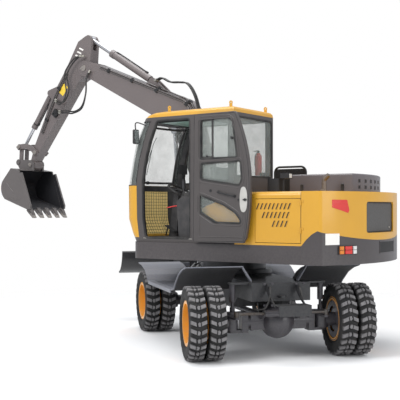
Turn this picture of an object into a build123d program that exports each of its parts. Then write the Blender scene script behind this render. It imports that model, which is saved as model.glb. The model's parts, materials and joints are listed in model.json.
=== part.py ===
"""Wheeled excavator: chassis, slewing upper structure, cab, boom, arm and bucket.

Millimetres, +Z up. Each part is drawn in the frame of the assembly that carries it:
the chassis frame has its origin on the ground under the slew ring, with +X to the steered
axle and +Y to the left. Every later frame hangs on an earlier one, so that a changed angle
or length moves what it carries.
"""

import os
from math import atan2, cos, degrees, hypot, radians, sin, sqrt

from build123d import *

os.makedirs("parts", exist_ok=True)

# ---------------------------------------------------------------- running gear
tyre_od = 940.0
tyre_width = 232.0
tread_width = 200.0
twin_pitch = 248.0            # between the centre planes of two twin tyres
rim_seat_r = 262.0            # the tyre's bead sits on this radius
rim_wall = 12.0
rim_flange_r = 286.0
rim_flange_t = 10.0
bead_width = 160.0
wheel_disc_t = 24.0
wheelbase = 2800.0
front_axle_x = 1800.0         # ahead of the slew centre
track = 1964.0                # between the centres of the twin pairs
steer_deg = -5.0              # wheels as parked, turned a little to the right
steer_range = (-25.0, 30.0)   # from that place
seat_gap = 0.3                # between a moving flat face and its seat
run_gap = 0.08                # radial clearance of a sliding rod in its bore
side_gap = 6.0                # beside an eye in its fork

axle_z = tyre_od / 2
rear_axle_x = front_axle_x - wheelbase
kingpin_y = 620.0
diff_r = 222.0
axle_tube_r = 78.0
knuckle_r = 92.0
hub_r = 150.0
lock_cylinder_y = 600.0
lock_cylinder_r = 38.0
lock_top_z = 949.0
axle_nose_r = 92.0
axle_nose_offset = 245.0
axle_nose_x = front_axle_x - axle_nose_offset
axle_pad_y = 282.0
axle_pad_z = axle_z + 100.0
steer_arm_x = 240.0           # ball stud of the steering arm, from the king pin
steer_arm_y = -20.0
steer_arm_low = 60.0          # above the axle's centre
steer_arm_t = 25.0
steer_rod_r = 18.0
steer_barrel_r = 42.0
steer_barrel_half = 250.0

# ---------------------------------------------------------------- chassis
frame_half_w = 395.0
frame_front_x = 1960.0
frame_rear_x = -1420.0
frame_top_z = 975.0
frame_low_z = 740.0
turret_r = 560.0
tow_eye_z = 800.0
tow_eye_r = 45.0
tow_eye_t = 30.0
tow_eye_out = 60.0            # from the end plate to the pin hole
tow_hole_r = 22.0
fender_front_x = 1735.0       # where the wing over the steered wheels ends
fender_front_z = 1174.0
fender_t = 14.0
fender_out_y = 1205.0
fender_in_y = 530.0
front_arch_in_y = 430.0
fender_plate_len = 60.0
step_z = 825.0
step_front_x = 970.0
step_rear_x = -530.0
step_rail_h = 50.0
slew_ring_r = 470.0
slew_ring_top = 1170.0

# dozer blade, drawn level and lowered, then lifted about its pivot
blade_width = 2560.0
blade_height = 500.0
blade_pivot_x = -1450.0
blade_pivot_z = 620.0
blade_reach = 1000.0
blade_drop = 620.0            # from the pivot down to the lowered cutting edge
blade_lift_deg = 40.0
blade_range = (-46.0, 0.0)
blade_arm_y = 330.0
blade_eye_w = 70.0
blade_arm_t = 90.0
blade_lug_t = 24.0
blade_lug_r = 58.0
blade_cyl_base = (-1490.0, 880.0)
blade_cyl_eye = (-700.0, -60.0)    # on the blade's frame, lowered

# ---------------------------------------------------------------- upper structure
slew_deg = -140.25            # the upper's heading, from the chassis' +X
deck_bottom = 1200.0
deck_top = 1437.0
deck_plate_t = 90.0
deck_wall = 40.0
deck_half_w = 1200.0
deck_front_x = 1000.0
deck_corner_r = 160.0
tail_r = 2364.0
tail_corner_x = -2037.0
seam_x = -1760.0              # counterweight starts here
seam_gap = 0.5                # between panels that butt
body_top = 2130.0
body_front_x = -770.0
body_wall = 25.0
counterweight_top = 1630.0
cowl_tail_z = 1480.0          # the cowl reaches down to here just behind the tail
service_door_front_x = -1085.0
service_door_open = 80.0
hood_top = 2375.0
hood_front_x = -1160.0
hood_left_y = 400.0
hood_right_y = -1050.0
hood_tail_r = 2130.0
hood_wall = 20.0
hood_open = 60.0
panel_gap = 6.0

# cab
cab_left_y = 1160.0
cab_right_y = 130.0
cab_rear_x = -740.0
cab_wall = 45.0
cab_floor_t = 50.0
seat_height = 330.0
glass_t = 6.0
service_hinge_x = seam_x + 3.0
service_hinge_y = deck_half_w + 9.0
hinge_r = 8.0
service_hinge_heights = (1600.0, 1950.0)
cab_roof_top = 3285.0
bracket_eye_r = 9.0
bracket_places = ((380.0, cab_left_y - 60), (-650.0, cab_left_y - 60), (-650.0, cab_right_y + 60))
door_hinge_x = -115.0
door_hinge_y = 1215.0
door_t = 42.0
hinge_heights = (1640.0, 2960.0)
hinge_leaf = 100.0
door_open_deg = 178.0
door_rear_x = -78.0
door_sill_z = 1460.0
door_top_z = 3190.0

# ---------------------------------------------------------------- digging gear
boom_y = -150.0
boom_foot = (385.0, 1680.0)
boom_len = 3732.0
boom_deg = 44.54
boom_width = 270.0
boom_range = (-70.0, 14.0)
foot_plate_t = 26.0
boom_cyl_base = (940.0, 1500.0)     # in the upper's frame
boom_cyl_eye = (1500.0, 560.0)      # in the boom's frame
boom_pin_r = 34.0
boom_eye_w = 70.0
knee_top = 1000.0
boom_fork_depth = 230.0
arm_cyl_base = (2479.0, 752.0)      # in the boom's frame
arm_cyl_eye_w = 90.0
arm_len = 2054.0
arm_deg = -51.1               # below the horizontal
arm_width = 200.0
arm_range = (-44.0, 54.0)
bucket_width = 840.0
bucket_side_t = 22.0
bucket_plate_t = 20.0
bucket_range = (-88.0, 78.0)
horn = (-429.0, 266.0)              # the arm cylinder's eye, in the arm's frame
bucket_cyl_base = (820.0, 470.0)    # in the arm's frame
bucket_cyl_eye_w = 76.0
rocker_pin = (1813.0, 38.0)         # in the arm's frame
rocker_len = 421.0
rocker_t = 26.0
link_pin = (300.0, 50.0)            # in the bucket's frame, from the tip pin
link_len = 274.0
bucket_ear_t = 30.0
tooth_count = 5
tooth_w = 70.0
gland_len = 70.0
boom_rod_inside = 160.0             # of each rod, in its barrel as parked
arm_rod_inside = 440.0
bucket_rod_inside = 350.0
blade_rod_inside = 250.0
pivot_gap = 5.0               # between the plates of a fork and what turns in it


# ---------------------------------------------------------------- frames
def turned(deg):
    """A turn that raises the local +X axis by deg degrees in the vertical plane."""
    return Location((0, 0, 0), (0, -deg, 0))


def point_in(frame, x, z, y=0.0):
    """The (x, z) of a local point of frame, seen from that frame's parent."""
    p = (frame * Location((x, y, z))).position
    return p.X, p.Z


CHASSIS = Location((0, 0, 0))
UPPER = Location((0, 0, 0), (0, 0, slew_deg))
BOOM_IN_UPPER = Location((boom_foot[0], boom_y, boom_foot[1])) * turned(boom_deg)
ARM_IN_BOOM = Location((boom_len, 0, 0)) * turned(arm_deg - boom_deg)
ARM_IN_UPPER = BOOM_IN_UPPER * ARM_IN_BOOM
BOOM = UPPER * BOOM_IN_UPPER
ARM = BOOM * ARM_IN_BOOM
tip_x, tip_z = point_in(ARM_IN_UPPER, arm_len, 0)
BUCKET = UPPER * Location((tip_x, boom_y, tip_z))

pieces = []


def finish(builder, name, frame):
    """Label a finished sub-part, put it where its frame stands and keep it for export."""
    part = builder.part.moved(frame)
    part.label = name
    pieces.append(part)
    return part


# ================================================================ wheels
def twin_tyres():
    """Two tyres of a twin pair, turned about local Y, outer one on +Y."""
    with BuildPart() as tyres:
        for side in (-1, 1):
            centre = side * twin_pitch / 2
            with BuildSketch(Plane.XY) as section:
                with BuildLine():
                    half_bead = bead_width / 2
                    half_tread = tread_width / 2
                    half = tyre_width / 2
                    crown = tyre_od / 2
                    Polyline(
                        (rim_seat_r, centre - half_bead),
                        (rim_flange_r + 4, centre - half_bead),
                        (rim_flange_r + 60, centre - half),
                        (crown - 60, centre - half + 2),
                        (crown - 14, centre - half_tread),
                        (crown, centre - half_tread + 26),
                        (crown, centre + half_tread - 26),
                        (crown - 14, centre + half_tread),
                        (crown - 60, centre + half - 2),
                        (rim_flange_r + 60, centre + half),
                        (rim_flange_r + 4, centre + half_bead),
                        (rim_seat_r, centre + half_bead),
                        close=True,
                    )
                make_face()
            revolve(axis=Axis.Y)
    return tyres


def twin_rims():
    """The rim barrels of a twin pair with their common disc and hub, about local Y."""
    inner = rim_seat_r - rim_wall
    with BuildPart() as rims:
        with BuildSketch(Plane.XY):
            with BuildLine():
                end = twin_pitch / 2 + bead_width / 2 + rim_flange_t
                Polyline(
                    (inner, -end), (rim_seat_r, -end), (rim_seat_r, end), (inner, end), close=True
                )
            make_face()
            with BuildLine():
                half = wheel_disc_t / 2
                Polyline(
                    (0, -half), (inner + 1, -half), (inner + 1, half), (165, half), (135, 40),
                    (120, 118), (95, 132), (0, 132), close=True,
                )
            make_face()
        revolve(axis=Axis.Y)
        for side in (-1, 1):
            for edge in (-1, 1):
                y = side * twin_pitch / 2 + edge * (bead_width + rim_flange_t) / 2
                with BuildSketch(Plane.XZ.offset(-y)):
                    Circle(rim_flange_r)
                    Circle(rim_seat_r - 1, mode=Mode.SUBTRACT)
                extrude(amount=rim_flange_t / 2, both=True)
    return rims


def knuckle_frame(side):
    """Frame of a steered knuckle: origin on the king pin at axle height, +Y outwards."""
    turn = steer_deg if side > 0 else steer_deg + 180
    return Location((front_axle_x, side * kingpin_y, axle_z), (0, 0, turn))


wheel_offset = track / 2 - kingpin_y
for end, side_name, side in (
    ("front", "left", 1), ("front", "right", -1), ("rear", "left", 1), ("rear", "right", -1)
):
    if end == "front":
        wheel = knuckle_frame(side) * Location((0, wheel_offset, 0))
    else:
        spin = 0 if side > 0 else 180
        wheel = Location((rear_axle_x, side * track / 2, axle_z), (0, 0, spin))
    finish(twin_tyres(), f"{end}_{side_name}_tyres", wheel)
    finish(twin_rims(), f"{end}_{side_name}_rims", wheel)

# ================================================================ axles and steering
hub_face = wheel_disc_t / 2 + seat_gap
fork_reach = 130.0
fork_t = 34.0

for name, axle_x, steered in (("front_axle", front_axle_x, True), ("rear_axle", rear_axle_x, False)):
    tube_end = kingpin_y - 128 if steered else track / 2 - hub_face
    with BuildPart() as axle:
        Sphere(diff_r)
        with Locations(((-1 if steered else 1) * axle_nose_offset, 0, 0)):
            Cylinder(axle_nose_r, 150, rotation=(0, 90, 0))
        Cylinder(axle_tube_r, 2 * tube_end, rotation=(90, 0, 0))
        for side in (-1, 1):
            with Locations((0, side * axle_pad_y, 0)):
                Box(150, 190, 2 * (axle_pad_z - axle_z))
            if steered:
                with Locations((0, side * (tube_end - 40), 0)):
                    Box(150, 80, 2 * fork_reach)
                for ear in (-1, 1):
                    with BuildSketch(Plane.XY.offset(ear * (fork_reach - fork_t / 2))):
                        with Locations((0, side * (kingpin_y - 70))):
                            Rectangle(120, 140)
                        with Locations((0, side * kingpin_y)):
                            Circle(60)
                    extrude(amount=fork_t / 2, both=True)
            else:
                with Locations((0, side * (track / 2 - 300), 0)):
                    Cylinder(118, 90, rotation=(90, 0, 0))
                with Locations((0, side * (track / 2 - hub_face - 90), 0)):
                    Cylinder(hub_r - 20, 180, rotation=(90, 0, 0))
    finish(axle, name, Location((axle_x, 0, axle_z)))

knuckle_half_h = fork_reach - fork_t - seat_gap
for side_name, side in (("left", 1), ("right", -1)):
    forward = 1 if side > 0 else -1
    with BuildPart() as knuckle:
        Cylinder(knuckle_r, 2 * knuckle_half_h)
        with BuildSketch(Plane.XZ.offset(-40)):
            Circle(88)
        extrude(amount=-(wheel_offset - hub_face - 40))
        with BuildSketch(Plane.XZ.offset(-(wheel_offset - 190))):
            Circle(hub_r)
        extrude(amount=-(190 - hub_face))
        with BuildSketch(Plane.XY.offset(steer_arm_low)):
            with BuildLine():
                Polyline(
                    (0, -70), (forward * steer_arm_x, steer_arm_y - 34),
                    (forward * steer_arm_x, steer_arm_y + 34), (0, 70), close=True,
                )
            make_face()
            with Locations((forward * steer_arm_x, steer_arm_y)):
                Circle(34)
        extrude(amount=steer_arm_t)
    finish(knuckle, f"{side_name}_knuckle", knuckle_frame(side))

# steering ram across the front of the axle; its rod reaches both steering arms
ball_places = [
    (knuckle_frame(side) * Location((forward * steer_arm_x, steer_arm_y, 0))).position
    for side, forward in ((1, 1), (-1, -1))
]
ram_x = sum(place.X for place in ball_places) / 2
ball_low = axle_z + steer_arm_low + steer_arm_t + pivot_gap
ram_z = ball_low + 36
with BuildPart() as ram:
    with BuildSketch(Plane.XZ.offset(-steer_barrel_half)):
        with Locations((ram_x, ram_z)):
            Circle(steer_barrel_r)
    extrude(amount=2 * steer_barrel_half)
    for side in (-1, 1):
        with BuildSketch(Plane.XZ.offset(-side * (steer_barrel_half - 5))):
            with BuildLine():
                Polyline(
                    (front_axle_x + 75, axle_pad_z), (front_axle_x + 75, axle_z + 40),
                    (front_axle_x + 110, axle_z + 40), (ram_x + 30, ram_z - 20),
                    (ram_x, ram_z), (ram_x - 40, ram_z), close=True,
                )
            make_face()
        extrude(amount=20, both=True)
    with BuildSketch(Plane.XZ.offset(-steer_barrel_half - 30)):
        with Locations((ram_x, ram_z)):
            Circle(steer_rod_r + run_gap)
    extrude(amount=2 * steer_barrel_half + 60, mode=Mode.SUBTRACT)
finish(ram, "steering_ram", CHASSIS)

with BuildPart() as ram_rod:
    with BuildSketch(Plane.XZ.offset(-ball_places[0].Y)):
        with Locations((ram_x, ram_z)):
            Circle(steer_rod_r)
    extrude(amount=ball_places[0].Y - ball_places[1].Y)
    for place in ball_places:
        with BuildSketch(Plane.XY.offset(ball_low)):
            with Locations((ram_x, place.Y)):
                Circle(30)
        extrude(amount=66)
finish(ram_rod, "steering_rod", CHASSIS)

# ================================================================ chassis frame
with BuildPart() as chassis:
    with BuildSketch(Plane.XZ.offset(-frame_half_w)):
        with BuildLine():
            Polyline(
                (frame_rear_x, frame_low_z - 60), (frame_rear_x, frame_top_z - 40),
                (-700, frame_top_z), (frame_front_x, frame_top_z), (frame_front_x, frame_low_z),
                (front_axle_x - 420, frame_low_z), (front_axle_x - 640, frame_low_z - 150),
                (rear_axle_x + 560, frame_low_z - 150), (rear_axle_x + 330, frame_low_z - 20),
                close=True,
            )
        make_face()
    extrude(amount=2 * frame_half_w)
    with BuildSketch(Plane.XY.offset(frame_top_z - 5)):
        Circle(turret_r)
    extrude(amount=60)
    for side in (-1, 1):
        # shelf over each axle lock cylinder
        shelf_w = lock_cylinder_y + 45 - frame_half_w + 10
        with Locations((front_axle_x, side * (frame_half_w - 10 + shelf_w / 2), lock_top_z + 13)):
            Box(120, shelf_w, 26)
        # pads that the rear axle bolts up to
        pad_top = frame_low_z - 10
        with Locations((rear_axle_x, side * axle_pad_y, (axle_pad_z + pad_top) / 2)):
            Box(150, 150, pad_top - axle_pad_z)
        # lugs on both sides of each dozer arm
        for face in (-1, 1):
            y = side * blade_arm_y + face * (blade_arm_t / 2 + seat_gap)
            with BuildSketch(Plane.XZ.offset(-y)):
                with BuildLine():
                    Polyline(
                        (frame_rear_x + 60, frame_top_z - 120), (frame_rear_x + 60, 690),
                        (blade_pivot_x + 40, blade_pivot_z - 55), (blade_pivot_x, blade_pivot_z),
                        (frame_rear_x - 5, frame_top_z - 120), close=True,
                    )
                make_face()
                with Locations((blade_pivot_x, blade_pivot_z)):
                    Circle(blade_lug_r)
            extrude(amount=-face * blade_lug_t)
    # lugs for the blade's lift cylinder
    for side in (-1, 1):
        with BuildSketch(Plane.XZ.offset(-side * (blade_eye_w / 2 + seat_gap))):
            with BuildLine():
                Polyline(
                    (frame_rear_x + 40, frame_top_z - 60), (blade_cyl_base[0], blade_cyl_base[1] + 40),
                    (blade_cyl_base[0], blade_cyl_base[1] - 40), (frame_rear_x + 40, 760), close=True,
                )
            make_face()
            with Locations(blade_cyl_base):
                Circle(46)
        extrude(amount=-side * 22)
    # hanger round the pivot of the oscillating axle
    with BuildSketch(Plane.YZ.offset(axle_nose_x - 55)):
        with BuildLine():
            Polyline(
                (-170, frame_low_z + 5), (-130, axle_z - 130), (130, axle_z - 130),
                (170, frame_low_z + 5), close=True,
            )
        make_face()
        with Locations((0, axle_z)):
            Circle(axle_nose_r + seat_gap, mode=Mode.SUBTRACT)
    extrude(amount=40)
    # towing lug on the end plate, level, for an upright pin
    with BuildSketch(Plane.XY.offset(tow_eye_z - tow_eye_t / 2)):
        with Locations((frame_front_x + tow_eye_out / 2 - 10, 0)):
            Rectangle(tow_eye_out + 20, 2 * tow_eye_r)
        with Locations((frame_front_x + tow_eye_out, 0)):
            Circle(tow_eye_r)
            Circle(tow_hole_r, mode=Mode.SUBTRACT)
    extrude(amount=tow_eye_t)
finish(chassis, "chassis_frame", CHASSIS)

with BuildPart() as shaft:
    with BuildSketch(Plane.YZ.offset(rear_axle_x + axle_nose_offset + 75)):
        with Locations((0, axle_z)):
            Circle(42)
    extrude(amount=wheelbase - 2 * axle_nose_offset - 150)
    for x in (rear_axle_x + axle_nose_offset + 75, front_axle_x - axle_nose_offset - 115):
        with BuildSketch(Plane.YZ.offset(x)):
            with Locations((0, axle_z)):
                Circle(68)
        extrude(amount=40)
finish(shaft, "drive_shaft", CHASSIS)

with BuildPart() as slew_ring:
    with BuildSketch(Plane.XY.offset(frame_top_z + 55)):
        Circle(slew_ring_r)
        Circle(slew_ring_r - 110, mode=Mode.SUBTRACT)
    extrude(amount=slew_ring_top - frame_top_z - 55)
finish(slew_ring, "slew_ring", CHASSIS)

with BuildPart() as lock_cylinders:
    for side in (-1, 1):
        with BuildSketch(Plane.XY.offset(axle_z + fork_reach + 60)):
            with Locations((front_axle_x, side * lock_cylinder_y)):
                Circle(20)
        extrude(amount=lock_top_z - axle_z - fork_reach - 60)
        with BuildSketch(Plane.XY.offset(axle_z + fork_reach + 130)):
            with Locations((front_axle_x, side * lock_cylinder_y)):
                Circle(lock_cylinder_r)
        extrude(amount=lock_top_z - axle_z - fork_reach - 130)
        with BuildSketch(Plane.XY.offset(axle_z + fork_reach)):
            with Locations((front_axle_x, side * lock_cylinder_y)):
                Circle(34)
        extrude(amount=62)
finish(lock_cylinders, "axle_lock_cylinders", CHASSIS)

# the wing's upper line, from the rear arch over the level step to the front arch
rear_arch = [(-1240, 1057), (-1000, 1035), (-770, 985), (-630, 905), (step_rear_x, step_z)]
front_arch = [
    (step_front_x, step_z), (1120, 850), (1200, 930), (1380, 1060), (1550, 1130),
    (fender_front_x, fender_front_z),
]


def bent_strip(line):
    """The side outline of a folded plate whose upper line is given, front end last."""
    low = [(x, z - fender_t) for x, z in reversed(line)]
    with BuildSketch(Plane.XZ) as outline:
        with BuildLine():
            Polyline(*line, *low, close=True)
        make_face()
    return outline.sketch


for side_name, side in (("left", 1), ("right", -1)):
    with BuildPart() as fender:
        for line, inner_y in (
            (rear_arch + [(step_front_x, step_z)], fender_in_y),
            (front_arch, front_arch_in_y),
        ):
            with BuildSketch(Plane.XZ.offset(-side * fender_out_y)):
                add(bent_strip(line))
            extrude(amount=side * (fender_out_y - inner_y))
        # rail along the step's outer edge
        with BuildSketch(Plane.YZ.offset(step_rear_x + 20)):
            with Locations((side * (fender_out_y - fender_t / 2), step_z - step_rail_h / 2)):
                Rectangle(fender_t, step_rail_h)
        extrude(amount=step_front_x - step_rear_x - 40)
        # sloping plate from the front arch down to the frame
        with BuildSketch(Plane.YZ.offset(fender_front_x)):
            with BuildLine():
                Polyline(
                    (side * (front_arch_in_y + 10), fender_front_z),
                    (side * (frame_half_w - 80), frame_top_z + fender_t),
                    (side * (frame_half_w - 80), frame_top_z),
                    (side * (frame_half_w - 62), frame_top_z),
                    (side * (front_arch_in_y + 10), fender_front_z - 2 * fender_t),
                    close=True,
                )
            make_face()
        extrude(amount=-fender_plate_len)
        # brackets on the frame's side
        for x, top_z, depth in ((-1170, 1044, 110), (-480, step_z - 4, 40), (700, step_z - 4, 40)):
            with BuildSketch(Plane.YZ.offset(x)):
                with BuildLine():
                    Polyline(
                        (side * (fender_in_y + 60), top_z), (side * frame_half_w, top_z),
                        (side * frame_half_w, top_z - depth), (side * (fender_in_y + 60), top_z - 40),
                        close=True,
                    )
                make_face()
            extrude(amount=60)
    finish(fender, f"{side_name}_fender", CHASSIS)

with BuildPart() as front_step:
    for side in (-1, 1):
        with BuildSketch(Plane.XZ.offset(-side * 200)):
            with BuildLine():
                Polyline(
                    (frame_front_x + seat_gap, 960), (frame_front_x + 60, 960),
                    (2130, 800), (2300, 716), (2300, 690), (2110, 770),
                    (frame_front_x + seat_gap, 880), close=True,
                )
            make_face()
        extrude(amount=6, both=True)
    with BuildSketch(Plane.XZ.offset(-210)):
        with BuildLine():
            Polyline(
                (2240, 735), (2450, 735), (2450, 600), (2438, 600), (2438, 723), (2240, 723),
                close=True,
            )
        make_face()
    extrude(amount=420)
finish(front_step, "front_step", CHASSIS)

# ================================================================ dozer blade
BLADE = Location((blade_pivot_x, 0, blade_pivot_z)) * turned(-blade_lift_deg)
with BuildPart() as blade:
    with BuildSketch(Plane.XZ.offset(-blade_width / 2)):
        low = -blade_drop
        high = blade_height - blade_drop
        with BuildLine():
            ThreePointArc(
                (-blade_reach - 40, low), (-blade_reach + 60, (low + high) / 2),
                (-blade_reach - 20, high),
            )
            Line((-blade_reach - 20, high), (-blade_reach + 10, high))
            ThreePointArc(
                (-blade_reach + 10, high), (-blade_reach + 84, (low + high) / 2),
                (-blade_reach, low),
            )
            Line((-blade_reach, low), (-blade_reach - 40, low))
        make_face()
    extrude(amount=blade_width)
    for side in (-1, 1):
        with BuildSketch(Plane.XZ.offset(-side * blade_arm_y)):
            with BuildLine():
                Polyline(
                    (60, 55), (60, -55), (-blade_reach + 60, low + 60),
                    (-blade_reach + 60, high - 120), (-60, 60), close=True,
                )
            make_face()
        extrude(amount=blade_arm_t / 2, both=True)
        # ears for the lift cylinder's rod
        with BuildSketch(Plane.XZ.offset(-side * (blade_eye_w / 2 + seat_gap))):
            with BuildLine():
                Polyline(
                    (-blade_reach + 60, low + 120), (-blade_reach + 60, high - 120),
                    (blade_cyl_eye[0], blade_cyl_eye[1] + 50), (blade_cyl_eye[0], blade_cyl_eye[1] - 50),
                    close=True,
                )
            make_face()
            with Locations(blade_cyl_eye):
                Circle(50)
        extrude(amount=-side * 22)
finish(blade, "dozer_blade", BLADE)

# ================================================================ upper frame
def deck_outline(half_w, front_x, corner_r, radius, corner_x):
    """The plan of the revolving deck: straight sides, round front corners, arc tail."""
    tail_y = sqrt(radius**2 - corner_x**2)
    side = min(half_w, tail_y)
    with BuildSketch() as plan:
        with BuildLine():
            Line((front_x, -half_w), (front_x, half_w))
            Line((front_x, half_w), (corner_x, side))
            ThreePointArc((corner_x, side), (-radius, 0), (corner_x, -side))
            Line((corner_x, -side), (front_x, -half_w))
        make_face()
        front = plan.vertices().group_by(Axis.X)[-1]
        fillet(front, corner_r)
        rear = plan.vertices().group_by(Axis.X)[0]
        fillet(rear, 60)
    return plan.sketch


outer_plan = deck_outline(deck_half_w, deck_front_x, deck_corner_r, tail_r, tail_corner_x)

with BuildPart() as deck:
    add(outer_plan.moved(Location((0, 0, deck_bottom))))
    extrude(amount=deck_top - deck_bottom)
    with BuildSketch(Plane.XY.offset(deck_bottom + deck_plate_t)):
        with Locations(((deck_front_x - deck_wall - 750) / 2, 0)):
            Rectangle(750 + deck_front_x - deck_wall, 2 * (deck_half_w - deck_wall))
    with BuildSketch(Plane.XY.offset(deck_bottom)):
        with Locations(((seam_x - 800), 0)):
            Rectangle(1600, 3000)
    extrude(amount=deck_top - deck_bottom, mode=Mode.SUBTRACT)
    for side in (-1, 1):
        with BuildSketch(Plane.XZ.offset(-(boom_y + side * (boom_width / 2 + pivot_gap)))):
            with BuildLine():
                Polyline(
                    (-250, deck_top - 10), (boom_foot[0] - 110, boom_foot[1] + 60),
                    (boom_foot[0] + 110, boom_foot[1] + 60),
                    (boom_cyl_base[0] - 60, boom_cyl_base[1] + 40), (deck_front_x - 20, deck_top + 20),
                    (deck_front_x - 20, deck_bottom + 20), (-250, deck_bottom + 20), close=True,
                )
            make_face()
            with Locations(boom_foot):
                Circle(120)
            with Locations(boom_cyl_base):
                Circle(56)
        extrude(amount=-side * foot_plate_t)
        # pin boss towards the boom
        with BuildSketch(Plane.XZ.offset(-(boom_y + side * (boom_width / 2 + pivot_gap)))):
            with Locations(boom_foot):
                Circle(85)
        extrude(amount=side * (pivot_gap - seat_gap))
        # pins of the boom cylinders, standing out of the foot plates
        with BuildSketch(Plane.XZ.offset(-(boom_y + side * (boom_width / 2 + pivot_gap)))):
            with Locations(boom_cyl_base):
                Circle(boom_pin_r)
        extrude(amount=-side * (foot_plate_t + seat_gap + boom_eye_w + 14))
    with BuildSketch(Plane.XY.offset(slew_ring_top + seat_gap)):
        Circle(slew_ring_r - 20)
    extrude(amount=deck_bottom - slew_ring_top)
finish(deck, "revolving_frame", UPPER)

# ================================================================ tail and engine bay
with BuildPart() as counterweight:
    add(outer_plan.moved(Location((0, 0, deck_bottom))))
    extrude(amount=counterweight_top - deck_bottom)
    with BuildSketch(Plane.XZ.offset(-1500)):
        with BuildLine():
            Polyline(
                (seam_x - seam_gap, deck_bottom - 10), (1200, deck_bottom - 10),
                (1200, counterweight_top + 10), (-tail_r - 60, counterweight_top + 10),
                (-tail_r - 60, cowl_tail_z), (seam_x - 230, counterweight_top),
                (seam_x - 150, 1587), (seam_x - 75, 1522),
                (seam_x - seam_gap, deck_top), close=True,
            )
        make_face()
    extrude(amount=3000, mode=Mode.SUBTRACT)
finish(counterweight, "counterweight", UPPER)

with BuildPart() as tail_cowl:
    add(outer_plan.moved(Location((0, 0, deck_top))))
    extrude(amount=body_top - deck_top)
    with BuildSketch(Plane.XZ.offset(-1500)):
        with BuildLine():
            Polyline(
                (seam_x - seam_gap, deck_top), (seam_x - seam_gap, body_top + 10), (1200, body_top + 10),
                (1200, deck_top), close=True,
            )
        make_face()
        with BuildLine():
            Polyline(
                (seam_x - seam_gap, deck_top), (seam_x - 75, 1522), (seam_x - 150, 1587),
                (seam_x - 230, counterweight_top), (-tail_r - 60, cowl_tail_z),
                (-tail_r - 60, deck_top - 10), (seam_x - seam_gap, deck_top - 10), close=True,
            )
        make_face()
    extrude(amount=3000, mode=Mode.SUBTRACT)
    with BuildSketch(Plane.YZ.offset(-tail_r - 10)):
        with Locations((30, 1798)):
            Rectangle(860, 404)
        fillet(vertices(), 40)
    extrude(amount=10 + 60, mode=Mode.SUBTRACT)
    for z in service_hinge_heights:
        with BuildSketch(Plane.XY.offset(z + 40 + seat_gap)):
            with Locations((service_hinge_x, service_hinge_y)):
                Circle(hinge_r)
            with Locations((service_hinge_x - 20, deck_half_w + 2)):
                Rectangle(40, 4)
        extrude(amount=30)
finish(tail_cowl, "tail_cowl", UPPER)

with BuildPart() as body:
    with BuildSketch(Plane.XY.offset(deck_top)):
        with Locations(((seam_x + body_front_x) / 2, 0)):
            Rectangle(body_front_x - seam_x, 2 * deck_half_w)
    extrude(amount=body_top - deck_top)
    top_edges = body.edges().filter_by(Axis.X).group_by(Axis.Z)[-1]
    fillet(top_edges, 55)
    with BuildSketch(Plane.XY.offset(deck_top)):
        with Locations(((seam_x + body_front_x) / 2 - body_wall, 0)):
            Rectangle(body_front_x - seam_x, 2 * (deck_half_w - body_wall))
    extrude(amount=body_top - body_wall - deck_top, mode=Mode.SUBTRACT)
    with BuildSketch(Plane.XY.offset(body_top - 200)):
        with Locations(
            ((seam_x + hood_front_x - 40) / 2, (hood_left_y + hood_right_y) / 2)
        ):
            Rectangle(hood_front_x - seam_x - 40 + 2, hood_left_y - hood_right_y - 80)
    extrude(amount=300, mode=Mode.SUBTRACT)
    with BuildSketch(Plane.XZ.offset(-deck_half_w - 10)):
        with Locations(((seam_x + service_door_front_x) / 2, (deck_top + body_top) / 2 - 30)):
            Rectangle(service_door_front_x - seam_x, body_top - deck_top - 60 - 2 * 30)
    extrude(amount=body_wall + 11, mode=Mode.SUBTRACT)
finish(body, "body_shell", UPPER)

with BuildPart() as service_door:
    with BuildSketch(Plane.XZ.offset(-deck_half_w)):
        with Locations(((seam_x + service_door_front_x) / 2, (deck_top + body_top) / 2 - 30)):
            Rectangle(
                service_door_front_x - seam_x - 2 * panel_gap,
                body_top - deck_top - 120 - 2 * panel_gap,
            )
    extrude(amount=body_wall)
    for z in service_hinge_heights:
        with BuildSketch(Plane.XY.offset(z)):
            with Locations((service_hinge_x, service_hinge_y)):
                Circle(hinge_r)
            with Locations((service_hinge_x + 20, deck_half_w + 2)):
                Rectangle(40, 4)
        extrude(amount=40)
finish(service_door, "service_door", UPPER)

with BuildPart() as hood:
    with BuildSketch(Plane.XY.offset(body_top + seat_gap)):
        with BuildLine():
            left_x = -sqrt(hood_tail_r**2 - hood_left_y**2)
            right_x = -sqrt(hood_tail_r**2 - hood_right_y**2)
            Line((hood_front_x, hood_right_y), (hood_front_x, hood_left_y))
            Line((hood_front_x, hood_left_y), (left_x, hood_left_y))
            ThreePointArc((left_x, hood_left_y), (-hood_tail_r, 0), (right_x, hood_right_y))
            Line((right_x, hood_right_y), (hood_front_x, hood_right_y))
        make_face()
    extrude(amount=hood_top - body_top - seat_gap)
    fillet(hood.faces().sort_by(Axis.Z)[-1].edges(), 22)
    offset(amount=-hood_wall, openings=hood.faces().sort_by(Axis.Z)[0])
finish(hood, "engine_hood", UPPER)

with BuildPart() as engine:
    with BuildSketch(Plane.XY.offset(deck_top)):
        with Locations((-1450, -180)):
            Rectangle(560, 1050)
    extrude(amount=650)
finish(engine, "engine_block", UPPER)

with BuildPart() as exhaust:
    with BuildLine() as exhaust_path:
        FilletPolyline((-1800, 640, body_top), (-1800, 640, 2290), (-1870, 640, 2350), radius=60)
    with BuildSketch(Plane.XY.offset(body_top).move(Location((-1800, 640, 0)))):
        Circle(30)
    sweep(path=exhaust_path.line)
finish(exhaust, "exhaust_pipe", UPPER)

with BuildPart() as intake:
    with Locations((-1220, 880, body_top + 88)):
        Box(170, 190, 176)
    fillet(intake.edges().filter_by(Axis.Z), 25)
finish(intake, "intake_box", UPPER)

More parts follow.
